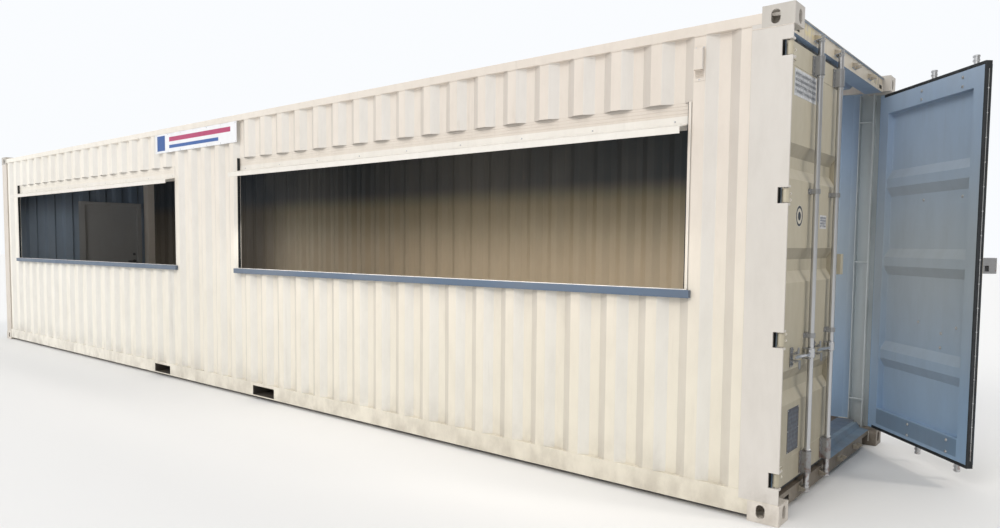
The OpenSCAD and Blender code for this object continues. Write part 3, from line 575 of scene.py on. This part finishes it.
class Shape:
    """A mesh under construction. Solids are added through a placing matrix."""

    def __init__(self, place=None):
        self.bm = bmesh.new()
        self.place = place or NEAR

    def bevelled(self, verts, width, seg=2):
        if width:
            edges = list({e for v in verts for e in v.link_edges})
            bmesh.ops.bevel(self.bm, geom=edges, offset=width, segments=seg, affect="EDGES", profile=0.5)

    def box(self, x0, x1, y0, y1, z0, z1, r=0.001, seg=2):
        m = self.place @ Matrix.Translation(((x0 + x1) / 2, (y0 + y1) / 2, (z0 + z1) / 2))
        v = bmesh.ops.create_cube(self.bm, size=1, matrix=m @ Matrix.Diagonal((x1 - x0, y1 - y0, z1 - z0, 1)))["verts"]
        self.bevelled(v, r, seg)

    def lathe(self, at, axis, prof, n=24):
        """prof is [(distance along axis, radius), ...]; both ends are closed."""
        q = Vector(axis).normalized()
        m = self.place @ Matrix.Translation(at) @ q.to_track_quat("Z", "Y").to_matrix().to_4x4()
        rings = []
        for h, r in prof:
            step = 2 * math.pi / n
            rings.append([self.bm.verts.new(m @ Vector((r * math.cos(step * k), r * math.sin(step * k), h)))
                          for k in range(n)])
        for a, b in zip(rings, rings[1:]):
            for k in range(n):
                self.bm.faces.new((a[k], a[(k + 1) % n], b[(k + 1) % n], b[k]))
        self.bm.faces.new(rings[0][::-1])
        self.bm.faces.new(rings[-1])

    def bolt(self, at, axis, r=0.008, h=0.006):
        self.lathe(at, axis, [(-0.001, r * 1.45), (0.0012, r * 1.45), (0.0016, r * 1.38)], 18)
        self.lathe(at, axis, [(0, r), (h * 0.8, r), (h, r * 0.8)], 6)

    def dome(self, at, axis, r=0.006, h=0.0035):
        self.lathe(at, axis, [(-0.001, r), (h * 0.35, r * 0.96), (h * 0.75, r * 0.7), (h, r * 0.25)], 14)

    def slab(self, outline, along, t0, t1, r=0.001):
        """A flat plate: outline is a closed list of 2-D points, along is the axis of its thickness."""
        def p(a, b, t):
            return {"x": (t, a, b), "y": (a, t, b), "z": (a, b, t)}[along]
        lo = [self.bm.verts.new(self.place @ Vector(p(a, b, t0))) for a, b in outline]
        hi = [self.bm.verts.new(self.place @ Vector(p(a, b, t1))) for a, b in outline]
        n = len(outline)
        self.bm.faces.new(lo[::-1])
        self.bm.faces.new(hi)
        for k in range(n):
            self.bm.faces.new((lo[k], lo[(k + 1) % n], hi[(k + 1) % n], hi[k]))
        if r:
            edges = [e for v in lo + hi for e in v.link_edges]
            rims = [e for e in set(edges) if (e.verts[0] in lo) == (e.verts[1] in lo)]
            bmesh.ops.bevel(self.bm, geom=rims, offset=r, segments=1, affect="EDGES", profile=0.5)

    def sweep(self, rings):
        """Joins closed rings of points into one solid."""
        loops = [[self.bm.verts.new(self.place @ Vector(p)) for p in ring] for ring in rings]
        n = len(loops[0])
        for a, b in zip(loops, loops[1:]):
            for k in range(n):
                self.bm.faces.new((a[k], a[(k + 1) % n], b[(k + 1) % n], b[k]))
        self.bm.faces.new(loops[0][::-1])
        self.bm.faces.new(loops[-1])

    def bead(self, points, r=0.003, n=6, ripple=0.0):
        """A weld or sealant bead along an open path."""
        pts = [Vector(p) for p in points]
        rings = []
        for i, p in enumerate(pts):
            d = (pts[min(i + 1, len(pts) - 1)] - pts[max(i - 1, 0)]).normalized()
            ref = Vector((0, 0, 1)) if abs(d.z) < 0.8 else Vector((1, 0, 0))
            u = d.cross(ref).normalized()
            w = u.cross(d)
            s = r * (1 + ripple * noise.noise(p * 60))
            turns = [2 * math.pi * k / n for k in range(n)]
            rings.append([p + (u * math.cos(a) + w * math.sin(a)) * s for a in turns])
        self.sweep(rings)


def add(name, shape, body, slot, *mats, replaces=(), weighted=True):
    """Turns a Shape into a piece that rides on a body."""
    bm = shape.bm
    bmesh.ops.recalc_face_normals(bm, faces=bm.faces)
    for f in bm.faces:
        f.smooth = True
    for e in bm.edges:
        if len(e.link_faces) != 2 or e.calc_face_angle(0) > math.radians(36):
            e.smooth = False
    me = bpy.data.meshes.new(name)
    bm.to_mesh(me)
    bm.free()
    for mat in mats:
        me.materials.append(mat)
    o = bpy.data.objects.new(name, me)
    link(o)
    if weighted:
        w = o.modifiers.new("normals", "WEIGHTED_NORMAL")
        w.keep_sharp = True
    if replaces:
        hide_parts(*replaces)
    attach(o, body)
    return o


# ---------------------------------------------------------------- corrugated sheets


def corrugation(a, b, pitch, crest, slope, depth, radius, seg=3):
    """[(along, depth), ...] from a to b, with the folds rounded."""
    def depth_at(s):
        u = abs(s - pitch * round(s / pitch))
        return 0.0 if u <= crest / 2 else depth if u >= crest / 2 + slope else (u - crest / 2) / slope * depth
    folds = []
    for k in range(math.floor(a / pitch) - 1, math.ceil(b / pitch) + 2):
        for o in (-crest / 2 - slope, -crest / 2, crest / 2, crest / 2 + slope):
            s = k * pitch + o
            if a + 0.012 < s < b - 0.012:
                folds.append(s)
    raw = [(s, depth_at(s)) for s in [a] + folds + [b]]
    out = [raw[0]]
    for p, q, r in zip(raw, raw[1:], raw[2:]):
        p, q, r = Vector(p), Vector(q), Vector(r)
        d0, d1 = (q - p), (r - q)
        turn = d0.angle(d1)
        cut = min(radius * math.tan(turn / 2), d0.length * 0.45, d1.length * 0.45)
        s, e = q - d0.normalized() * cut, q + d1.normalized() * cut
        for k in range(seg + 1):
            t = k / seg
            out.append(tuple(s * (1 - t) ** 2 + q * 2 * t * (1 - t) + e * t * t))
    return out + [raw[-1]]


def folded_sheet(name, line, t0, t1, step, place, replaces, slot, outer, inner, wave=0.0009):
    """A closed sheet: line folded in the plane, extruded from t0 to t1, slightly wavy as pressed steel is."""
    rows = max(1, round((t1 - t0) / step))
    side = []
    for i, (s, d) in enumerate(line):
        p, q = line[max(i - 1, 0)], line[min(i + 1, len(line) - 1)]
        v = Vector((q[0] - p[0], q[1] - p[1])).normalized()
        side.append(Vector((-v.y, v.x)) * SHEET)
    sh = Shape()
    grids = []
    for back in (0, 1):
        grid = []
        for i, (s, d) in enumerate(line):
            col = []
            for j in range(rows + 1):
                t = t0 + (t1 - t0) * j / rows
                w = wave * noise.noise(Vector((s * 1.9, t * 2.3, 4.0)))
                w += wave * 0.5 * noise.noise(Vector((s * 6, t * 3, 9.0)))
                col.append(sh.bm.verts.new(place(s + side[i].x * back, d + w + side[i].y * back, t)))
            grid.append(col)
        grids.append(grid)
    outer_g, inner_g = grids
    n = len(line)
    for i in range(n - 1):
        for j in range(rows):
            sh.bm.faces.new((outer_g[i][j], outer_g[i + 1][j], outer_g[i + 1][j + 1], outer_g[i][j + 1])).material_index = 0
            sh.bm.faces.new((inner_g[i][j], inner_g[i][j + 1], inner_g[i + 1][j + 1], inner_g[i + 1][j])).material_index = 1
        for j in (0, rows):
            sh.bm.faces.new((outer_g[i][j], inner_g[i][j], inner_g[i + 1][j], outer_g[i + 1][j]))
    for i in (0, n - 1):
        for j in range(rows):
            sh.bm.faces.new((outer_g[i][j], outer_g[i][j + 1], inner_g[i][j + 1], inner_g[i][j]))
    return add(name, sh, "container", slot, outer, inner, replaces=replaces)


def near_side(s, d, t):
    return Vector((s, -CREST_Y + d, t))


def far_side(s, d, t):
    return Vector((s, CREST_Y - d, t))


END_MID = 0.45


def blind_end(s, d, t):
    return Vector((-6.080 + d, s + END_MID, t))


def roof(s, d, t):
    return Vector((s, t, 2.865 - d))


SIDE = (0.278, 0.072, 0.068, 0.036, 0.016)
END = (0.280, 0.110, 0.030, 0.046, 0.014)
ROOF = (0.209, 0.100, 0.020, 0.020, 0.008)
PIERS = {"wall_near_blind": (-CAST_X, -5.490), "wall_near_mid": (-0.594, 0.645), "wall_near_door": (5.512, POST_X)}
for nm, (a, b) in PIERS.items():
    folded_sheet(nm + "_sheet", corrugation(a, b, *SIDE), 1.262, 2.430, 0.29, near_side, (nm,), "cream_paint", cream, inner)
whole = corrugation(-CAST_X, POST_X, *SIDE)
folded_sheet("wall_near_low_sheet", whole, 0.165, 1.262, 0.27, near_side, ("wall_near_low",), "cream_paint", cream, inner)
folded_sheet("wall_near_top_sheet", whole, 2.430, 2.803, 0.19, near_side, ("wall_near_top",), "cream_paint", cream, inner)
folded_sheet("wall_far_sheet", whole, 0.165, 2.803, 0.29, far_side, ("wall_far",), "cream_paint", cream, inner)
for nm, a, b, z0 in (("wall_blind_near", -1.065, -0.075, 0.170), ("wall_blind_far", 0.975, 1.065, 0.170),
                     ("wall_blind_over", -0.075, 0.975, 2.260)):
    folded_sheet(nm + "_sheet", corrugation(a - END_MID, b - END_MID, *END), z0, 2.778, 0.29, blind_end, (nm,),
                 "cream_paint", cream, inner_end)
folded_sheet("roof_sheet", corrugation(-CAST_X, CAST_X, *ROOF), -1.153, 1.153, 0.29, roof, ("roof_panel",),
             "cream_paint", cream, inner)

# weld beads where the sheets meet the rails and frames
for tag, place in (("near", near_side), ("far", far_side)):
    sh = Shape()
    for z in (0.167, 2.801):
        sh.bead([place(s, d - 0.0015, z) for s, d in whole], 0.0035, 5)
    add("wall_welds_" + tag, sh, "container", "cream_paint", cream, weighted=False)
sh = Shape()
for sx, sy in ((1, -1), (1, 1), (-1, -1), (-1, 1)):
    x0, x1 = (POST_X, 6.088) if sx > 0 else (-CAST_X, -6.090)
    for z in (0.1185, 2.7775):
        n = 24
        pts = [(x0 + (x1 - x0) * k / n, sy * 1.2165, z) for k in range(n + 1)]
        sh.bead(pts, 0.003, 6, 0.5)
        if sx < 0:
            sh.bead([(-6.0905, sy * (1.065 + 0.151 * k / 16), z) for k in range(17)], 0.003, 6, 0.5)
    # the seam between post and side wall
    sh.bead([(x0 - 0.001 * sx, sy * 1.2105, 0.17 + 2.62 * k / 60) for k in range(61)], 0.0028, 6, 0.4)
for s in (-1, 1):
    sh.bead([(6.0395, s * 1.0575, 2.775 + 0.1 * k / 12) for k in range(13)], 0.003, 6, 0.5)
    sh.bead([(6.0395, s * 1.0575, 0.032 + 0.083 * k / 12) for k in range(13)], 0.003, 6, 0.5)
for v in sh.bm.verts:                       # ground flush with the castings
    v.co.y = max(-FLUSH_Y, min(FLUSH_Y, v.co.y))
add("frame_welds", sh, "container", "cream_paint", cream)

# ---------------------------------------------------------------- cargo doors
LEAF_Z0, LEAF_Z1 = 0.165, 2.730
UP_Z = 2.600
RODS = {1: 0.645, 2: 0.215}


def teardrop(cy, r, tip, half, n=14):
    """Outline of a cam plate round a rod at cy, with a blunt nose at tip."""
    turns = [math.radians(-115 + 230 * k / n) for k in range(n + 1)]
    nose = ((half, 0.006), (half * 0.6, 0), (-half * 0.6, 0), (-half, 0.006))
    return [(ROD_X + r * math.sin(a), cy + r * math.cos(a)) for a in turns] + [(ROD_X + x, tip + y) for x, y in nose]


HANDLE = [  # out from the rod, forward, up, half height, half thickness
    (0.000, 0.000, 0.000, 0.0120, 0.0065), (0.034, 0.001, -0.001, 0.0120, 0.0065), (0.052, 0.007, -0.003, 0.0100, 0.0060),
    (0.078, 0.013, -0.003, 0.0085, 0.0058), (0.110, 0.015, -0.001, 0.0080, 0.0055), (0.145, 0.010, 0.001, 0.0082, 0.0055),
    (0.175, 0.002, 0.000, 0.0090, 0.0050), (0.205, -0.003, 0.000, 0.0102, 0.0045), (0.235, -0.004, 0.000, 0.0110, 0.0040),
    (0.262, -0.004, 0.000, 0.0105, 0.0040), (0.275, -0.004, 0.000, 0.0080, 0.0038), (0.2795, -0.004, 0.000, 0.0040, 0.0030)]


# turned profiles, as height and radius
COLLAR = [(0, 0.018), (0.0001, 0.0205), (0.002, 0.022), (0.008, 0.022), (0.0099, 0.0205), (0.01, 0.018)]
HUB = [(0, 0.0185), (0.0002, 0.0215), (0.003, 0.024), (0.053, 0.024), (0.0558, 0.0215), (0.056, 0.0185)]
HUB_PIN = [(0, 0.005), (0.001, 0.0075), (0.048, 0.0075), (0.049, 0.005)]


def lock_rod(name, place, y, body, node):
    sh = Shape(place)
    sh.lathe((ROD_X, -y, 0.060), (0, 0, 1), [(0, 0.0145), (0.003, 0.017), (2.773, 0.017), (2.776, 0.0145)], 32)
    for z in (0.062, 0.088, 2.822, 2.796):
        sh.slab(teardrop(-y, 0.0195, -y - 0.034, 0.009), "z", z, z + 0.012, 0.0015)
    for z in (LEAF_Z0 + 0.156, UP_Z - 0.016):
        sh.lathe((ROD_X, -y, z), (0, 0, 1), COLLAR, 32)
    hub = 0.925
    sh.lathe((ROD_X, -y, hub - 0.028), (0, 0, 1), HUB, 32)
    sh.lathe((ROD_X, -y - 0.030, hub - 0.0245), (0, 0, 1), HUB_PIN, 16)
    rings = []
    for out, fwd_, rise, hh, ht in HANDLE:
        ring = []
        for k in range(12):
            a = 2 * math.pi * (k + 0.5) / 12
            c, s = math.cos(a), math.sin(a)
            ring.append((ROD_X + fwd_ + ht * math.copysign(abs(c) ** 0.45, c), -y - out,
                         hub + rise + hh * math.copysign(abs(s) ** 0.6, s)))
        rings.append(ring)
    sh.sweep(rings)
    # seal eye on the end of the handle
    eye = [(ROD_X - 0.004, -y - 0.266 + 0.0062 * math.cos(a), hub + 0.0062 * math.sin(a)) for a in
           [2 * math.pi * k / 16 for k in range(16)]]
    sh.sweep([[(x + s * 0.0052, p, q) for x, p, q in eye] for s in (-1, 1)])
    return add(name, sh, body, "galvanised", bar, replaces=(node,))


def door_hardware(name, place, body):
    """Bolts, catches and inner fastenings on one leaf, drawn for the -Y door."""
    out = (1, 0, 0)
    sh = Shape(place)
    for y in RODS.values():
        for z0, h, rows in ((LEAF_Z0 + 0.012, 0.138, 4), (UP_Z, 0.114, 3), (1.018, 0.030, 1), (1.894, 0.030, 1)):
            for k in range(rows):
                z = z0 + h / 2 if rows == 1 else z0 + 0.018 + (h - 0.036) * k / (rows - 1)
                for s in (-1, 1):
                    sh.bolt((LEAF_X + 0.006, -y + s * 0.0335, z), out, 0.0055, 0.0055)
        # rolled lips of the end bearings
        for z0, z1 in ((LEAF_Z0 + 0.012, LEAF_Z0 + 0.150), (UP_Z, UP_Z + 0.114)):
            for z in (z0 + 0.002, z1 - 0.006):
                sh.lathe((ROD_X, -y, z), (0, 0, 1), [(0, 0.0242), (0.0005, 0.0255), (0.0035, 0.0255), (0.004, 0.0242)], 28)
        c = -y - 0.258
        for dz in (-0.046, 0.043):
            sh.bolt((LEAF_X + 0.006, c + 0.010, 0.925 + dz), out, 0.006, 0.006)
            sh.bolt((LEAF_X + 0.006, c - 0.010, 0.925 + dz), out, 0.006, 0.006)
        # swinging flap over the handle, and the hook below it
        sh.slab([(c - 0.012, 0.946), (c - 0.015, 0.966), (c - 0.010, 0.981), (c + 0.004, 0.986), (c + 0.013, 0.976), (c + 0.012, 0.946)],
                "x", LEAF_X + 0.0395, LEAF_X + 0.0455, 0.0015)
        sh.lathe((LEAF_X + 0.030, c - 0.016, 0.953), (0, 1, 0), [(0, 0.005), (0.001, 0.0062), (0.031, 0.0062), (0.032, 0.005)], 14)
        sh.slab([(c - 0.015, 0.864), (c - 0.019, 0.890), (c - 0.014, 0.9065), (c + 0.014, 0.9065), (c + 0.019, 0.888), (c + 0.013, 0.862),
                 (c, 0.854)], "x", LEAF_X + 0.0475, LEAF_X + 0.0535, 0.0015)
        sh.lathe((LEAF_X + 0.030, c - 0.018, 0.9015), (0, 1, 0), [(0, 0.004), (0.001, 0.0055), (0.035, 0.0055), (0.036, 0.004)], 14)
        # the guides that steady the handle by the hub
        for s in (-1, 1):
            sh.slab([(ROD_X - 0.036, -y - 0.048), (ROD_X + 0.004, -y - 0.048), (ROD_X + 0.010, -y - 0.040), (ROD_X + 0.010, -y - 0.024),
                     (ROD_X - 0.036, -y - 0.024)], "z", 0.925 + s * 0.0315 - 0.003, 0.925 + s * 0.0315 + 0.003, 0.001)
    add(name + "_fixings", sh, body, "galvanised", fittings)

    inside = Shape(place)
    back = (-1, 0, 0)
    for dist, z in ((0.950, 1.917), (0.949, 1.035), (0.794, 0.981), (0.794, 0.881), (0.539, 1.917), (0.539, 1.035)):
        inside.bolt((LEAF_X - 0.002, -1.184 + dist, z), back, 0.008, 0.007)
    for z in (2.63, 2.69, 0.20, 0.28):
        for y in (-0.215, -0.645):
            inside.bolt((LEAF_X - 0.050, y, z), back, 0.008, 0.007)
    add(name + "_inner_bolts", inside, body, "galvanised", galv)

    # retaining strip of the seal, with its rivets
    strip = Shape(place)
    y0, y1 = -0.0052, -1.1578
    za, zb = LEAF_Z0 - 0.0222, LEAF_Z1 + 0.0222
    xa, xb = LEAF_X - 0.0290, LEAF_X - 0.0255
    strip.box(xa, xb, y0 - 0.0006, y0 + 0.0012, za + 0.05, zb - 0.05, 0.0003, 1)
    for z in [za + 0.12 + 0.1545 * k for k in range(16)]:
        strip.dome(((xa + xb) / 2, y0 + 0.001, z), (0, 1, 0), 0.0048, 0.0018)
    for z, s in ((za, -1), (zb, 1)):
        strip.box(xa, xb, y1 + 0.05, y0 - 0.05, z - 0.0010, z + 0.0010, 0.0003, 1)
        for y in [y1 + 0.12 + 0.152 * k for k in range(7)]:
            strip.dome(((xa + xb) / 2, y, z + s * 0.0008), (0, 0, s), 0.0042, 0.0016)
    add(name + "_seal_strip", strip, body, "galvanised", galv)

    # welds between the pressed panel and its members, on both faces
    weld = Shape(place)
    for x, r, z0, z1 in ((LEAF_X - 0.0002, 0.0018, 0.3150, 2.6000), (LEAF_X - 0.0025, 0.0034, 0.3160, 2.5990)):
        for z in (z0, z1):
            weld.bead([(x, -1.050 + 0.940 * k / 60, z) for k in range(61)], r, 5, 0.5)
    for y in (-1.0490, -0.1110):
        side = []
        for k in range(101):
            z = 0.316 + 2.283 * k / 100
            depth = sum(BAND_DEPTH * max(0.0, min(1.0, (BAND_FOOT - abs(z - b)) / 0.068)) for b in BANDS)
            side.append((LEAF_X - 0.0025 - depth, y, z))
        weld.bead(side, 0.0034, 5, 0.3)
    if name.endswith("near"):
        add(name + "_welds", weld, body, "cream_paint", leaf_near)
    else:
        add(name + "_welds", weld, body, "blue_grey_paint", leaf_far)

    # lips of the seal that bear on the frame
    lip = Shape(place)
    for xx, rr in ((LEAF_X - 0.047, 0.0042), (LEAF_X - 0.012, 0.0036)):
        ring = [(xx, -1.1585, za + 0.004), (xx, -0.0085, za + 0.004), (xx, -0.0085, zb - 0.004), (xx, -1.1585, zb - 0.004)]
        for p, q in zip(ring, ring[1:] + ring[:1]):
            p, q = Vector(p), Vector(q)
            lip.bead([p.lerp(q, k / 8) for k in range(9)], rr, 8)
    add(name + "_seal_lip", lip, body, "seal_rubber", rub)

    # round heads that hold the hinge blades, and washers on the pins
    hinge = Shape(place)
    for z in (0.257, 1.055, 1.857, 2.657):
        for dy in (0.050, 0.105):
            for dz in (-0.018, 0.018):
                hinge.bolt((LEAF_X + 0.012, -1.150 + dy, z + dz), out, 0.0065, 0.006)
        hinge.bead([(LEAF_X + 0.001, -1.146 + 0.135 * k / 20, z + 0.0345) for k in range(21)], 0.0025, 6, 0.5)
        hinge.bead([(LEAF_X + 0.001, -1.146 + 0.135 * k / 20, z - 0.0345) for k in range(21)], 0.0025, 6, 0.5)
    add(name + "_hinge_heads", hinge, body, "cream_paint", cream)


for side, place in (("near", NEAR), ("far", FAR)):
    for k, y in RODS.items():
        lock_rod(f"lock_rod_{side}_{k}_forged", place, y, f"cargo_rod_{side}_{k}", f"lock_rod_{side}_{k}")
    door_hardware(f"door_{side}", place, f"cargo_door_{side}")

# ---------------------------------------------------------------- labels on the near door
OUT = (1, 0, 0)
data = Shape()
data.box(LEAF_X, LEAF_X + 0.0012, -1.000, -0.597, 2.437, 2.590, 0.0004, 1)
sheet_label = label("label_data", srgb(214, 216, 220), srgb(84, 88, 94), 1, (2.449, 2.578, 4), (-0.992, -0.605))
add("label_data", data, "cargo_door_near", "sign_panel", sheet_label)

ring = Shape()
ring.lathe((LEAF_X, -0.835, 1.755), OUT, [(0, 0.066), (0.0008, 0.066), (0.001, 0.065)], 48)


def ring_label():
    m = Mat("label_round", 0.45)
    d = m.add("VectorMath", operation="DISTANCE")
    m.put(d.inputs[0], m.co)
    d.inputs[1].default_value = (LEAF_X + 0.001, -0.835, 1.755)
    r = d.outputs["Value"]
    c = m.mix(m.range(m.noise(50, detail=5), 0.35, 0.75, 0, 0.3), srgb(206, 200, 186), DIRT)
    c = m.mix(m.between(r, 0.046, 0.060), c, srgb(44, 50, 60))
    c = m.mix(m.between(r, -1.0, 0.026), c, srgb(44, 50, 60))
    m.bump(m.noise(120, detail=2), 0.0003, 0.2)
    return m.done(c, m.range(m.noise(30), 0.3, 0.7, 0.38, 0.55))


add("label_round", ring, "cargo_door_near", "sign_panel", ring_label())

small = Shape()
small.box(LEAF_X, LEAF_X + 0.001, -0.430, -0.290, 1.690, 1.775, 0.0004, 1)
add("label_small", small, "cargo_door_near", "sign_panel",
    label("label_small", srgb(214, 214, 216), srgb(98, 104, 116), 1, (1.698, 1.767, 4), (-0.422, -0.298)))

plate = Shape()
plate.box(LEAF_X, LEAF_X + 0.0015, -0.925, -0.722, 0.345, 0.610, 0.0005, 1)
dark = label("plate_dark", srgb(62, 68, 80), srgb(86, 93, 104), 1, (0.36, 0.595, 9), (-0.910, -0.737))
add("door_plate", plate, "cargo_door_near", "grey_paint", dark)
rivets = Shape()
for y in (-0.918, -0.729):
    for z in (0.352, 0.4775, 0.603):
        rivets.dome((LEAF_X + 0.0013, y, z), OUT, 0.0045, 0.0025)
add("door_plate_rivets", rivets, "cargo_door_near", "galvanised", galv)

# ---------------------------------------------------------------- windows
WINDOWS = {1: (-5.475, -0.609), 2: (0.660, 5.497)}
for k, (x0, x1) in WINDOWS.items():
    guide = Shape()
    for x, s in ((x0, 1), (x1, -1)):
        a, b = sorted((x, x + s * 0.004))
        guide.box(a, b, -1.2080, -1.1780, 1.311, 2.4295, 0.001, 1)
        for y in (-1.2025, -1.1825):
            a, b = sorted((x + s * 0.003, x + s * 0.008))
            guide.box(a, b, y - 0.002, y + 0.002, 1.312, 2.296, 0.0012, 1)
    add(f"window_guides_{k}", guide, "container", "seal_rubber", rub)
    ribs = Shape()
    for z in (2.371, 2.392, 2.413):
        ribs.bead([(x0 + 0.005 + (x1 - x0 - 0.010) * i / 40, -1.1712, z) for i in range(41)], 0.0022, 8)
    add(f"window_head_ribs_{k}", ribs, "container", "cream_paint", cream)
    screws = Shape()
    n = round((x1 - x0 - 0.2) / 0.5632)
    for i in range(n + 1):
        x = x0 + 0.1 + (x1 - x0 - 0.2) * i / n
        screws.dome((x, -1.1755, 2.323), (0, -1, 0), 0.0065, 0.004)
    add(f"shutter_screws_{k}", screws, "container", "galvanised", galv)
    seal = Shape()
    seal.bead([(x0 - 0.014 + (x1 - x0 + 0.028) * i / 120, -1.2095, 1.3115) for i in range(121)], 0.003, 6, 0.3)
    for x in (x0 - 0.0155, x1 + 0.0155):
        seal.bead([(x, -1.2092, 1.312 + 1.117 * i / 40) for i in range(41)], 0.0025, 6, 0.3)
    add(f"window_sealant_{k}", seal, "container", "white_paint", white)
    hood = Shape()
    for i in range(n + 1):
        x = x0 + 0.1 + (x1 - x0 - 0.2) * i / n
        for z in (2.345, 2.525):
            hood.dome((x, -0.9015, z), (0, 1, 0), 0.006, 0.003)
    add(f"shutter_hood_screws_{k}", hood, "container", "galvanised", galv)

# the vent cover: a pressed hood over a louvred plate
VENT_X, VENT_Z = 5.560, 2.643
vent = Shape()
vent.box(VENT_X - 0.036, VENT_X + 0.036, -1.2110, -1.2090, VENT_Z - 0.103, VENT_Z + 0.100, 0.0006, 1)
hood_low, hood_top = VENT_Z - 0.040, VENT_Z + 0.084
outer_ring = [(-0.029, 0.0), (-0.029, 0.026), (-0.026, 0.029), (0.026, 0.029), (0.029, 0.026), (0.029, 0.0)]
vent.sweep([[(VENT_X + s * a, -1.2105 - s2 * b, z) for a, b in outer_ring]
            for z, s, s2 in ((hood_low, 1, 1), (hood_top - 0.006, 1, 1), (hood_top - 0.001, 0.97, 0.9), (hood_top, 0.9, 0.7))])
for i in range(4):
    z = VENT_Z - 0.048 - 0.009 * i
    vent.sweep([[(x, -1.2105, z), (x, -1.2165, z - 0.004), (x, -1.2160, z - 0.0052), (x, -1.2105, z - 0.0022)]
                for x in (VENT_X - 0.025, VENT_X + 0.025)])
add("vent_hood", vent, "container", "cream_paint", cream, replaces=("vent_cover",))

# fixings of the vent cover and the sign
fix = Shape()
for dx, dz in ((-0.024, 0.090), (0.024, 0.090), (0.0, -0.094)):
    fix.dome((VENT_X + dx, -1.2105, VENT_Z + dz), (0, -1, 0), 0.0050, 0.0032)
for i in range(7):
    for z in (2.602, 2.788):
        fix.dome((-1.000 + 1.650 * i / 6, -1.2188, z), (0, -1, 0), 0.005, 0.003)
add("cover_screws", fix, "container", "galvanised", galv)

# ---------------------------------------------------------------- personnel door
man = Shape()
for y in (-0.055, 0.955):
    for i in range(6):
        man.dome((-6.0925, y, 0.30 + 0.36 * i), (-1, 0, 0), 0.006, 0.003)
add("man_frame_screws", man, "container", "galvanised", galv)

# ---------------------------------------------------------------- finish of the CAD nodes
FINISH = {
    "castings_bottom_door": cast_paint, "castings_bottom_blind": cast_paint,
    "castings_top_door": cast_paint, "castings_top_blind": cast_paint,
    "post_door_near": post, "post_door_far": post, "post_blind_near": pink, "post_blind_far": pink,
    "door_header": header, "door_sill": sill_paint,
    "cross_members_blind": under, "cross_members_mid": under, "cross_members_door": under,
    # the fork pockets take the dark underframe paint, partly as painted shade inside them
    "window_frame_1": cream, "window_frame_2": cream, "fork_pocket_blind": under, "fork_pocket_door": under,
    "window_sill_1": blue, "window_sill_2": blue,
    "shutter_bar_1": white, "shutter_bar_2": white, "shutter_hood_1": white, "shutter_hood_2": white,
    "sign_board": sign, "vent_cover": white, "floor_deck": wood, "threshold_plate": blue,
    "man_door_frame": grey, "man_door_leaf": grey, "man_door_lever": dull, "man_door_lockset": dull,
    "cargo_leaf_near": leaf_near, "cargo_leaf_far": leaf_far,
    "cargo_gasket_near": rub, "cargo_gasket_far": rub_far, "rod_brackets_near": fittings, "rod_brackets_far": fittings,
    "lock_rod_near_1": bar, "lock_rod_near_2": bar, "lock_rod_far_1": bar, "lock_rod_far_2": bar,
}
for n, o in NODE.items():
    o.data.materials.clear()
    o.data.materials.append(FINISH.get(n, cream))

# softened edges on the folded and cast steel
smooth = bpy.data.node_groups.new("smooth_faces", "GeometryNodeTree")
smooth.interface.new_socket("Geometry", in_out="INPUT", socket_type="NodeSocketGeometry")
smooth.interface.new_socket("Geometry", in_out="OUTPUT", socket_type="NodeSocketGeometry")
gi, go = smooth.nodes.new("NodeGroupInput"), smooth.nodes.new("NodeGroupOutput")
gs = smooth.nodes.new("GeometryNodeSetShadeSmooth")
smooth.links.new(gi.outputs[0], gs.inputs[0])
smooth.links.new(gs.outputs[0], go.inputs[0])

EDGES = {
    0.0035: ("castings_bottom_door", "castings_bottom_blind", "castings_top_door", "castings_top_blind"),
    0.0025: ("post_door_near", "post_door_far", "post_blind_near", "post_blind_far", "blind_top_rail", "blind_bottom_rail",
             "bottom_rail_near", "bottom_rail_far", "top_rail_near", "top_rail_far", "window_sill_1", "window_sill_2",
             "shutter_hood_1", "shutter_hood_2", "cargo_leaf_near", "cargo_leaf_far", "cargo_gasket_near", "cargo_gasket_far"),
    0.0015: ("door_header", "door_sill", "fork_pocket_blind", "fork_pocket_door", "cross_members_blind", "cross_members_mid",
             "cross_members_door", "shutter_bar_1", "shutter_bar_2", "man_door_leaf", "rod_brackets_near", "rod_brackets_far",
             "man_door_lever", "man_door_lockset", "sign_board", "floor_deck"),
    0.0007: ("vent_cover", "window_frame_1", "window_frame_2", "man_door_frame", "threshold_plate"),
}
for width, names in EDGES.items():
    for n in names:
        o = NODE[n]
        weld = o.modifiers.new("weld", "WELD")
        weld.merge_threshold = 0.00001
        bev = o.modifiers.new("bevel", "BEVEL")
        bev.width, bev.segments, bev.limit_method, bev.angle_limit = width, 2, "ANGLE", math.radians(19)
        bev.use_clamp_overlap = True
        gn = o.modifiers.new("smooth", "NODES")
        gn.node_group = smooth
        wn = o.modifiers.new("normals", "WEIGHTED_NORMAL")
        wn.keep_sharp = True

# ---------------------------------------------------------------- floor
bm = bmesh.new()
bmesh.ops.create_grid(bm, x_segments=1, y_segments=1, size=90)
me = bpy.data.meshes.new("studio_floor")
bm.to_mesh(me)
bm.free()
ground = bpy.data.objects.new("studio_floor", me)
ground.location = (0, 0, -0.001)
link(ground)
fm = bpy.data.materials.new("studio_floor")
fm.use_nodes = True
fp = fm.node_tree.nodes["Principled BSDF"]
fp.inputs["Base Color"].default_value = (0.80, 0.80, 0.80, 1)
fp.inputs["Roughness"].default_value = 0.95
ground.data.materials.append(fm)
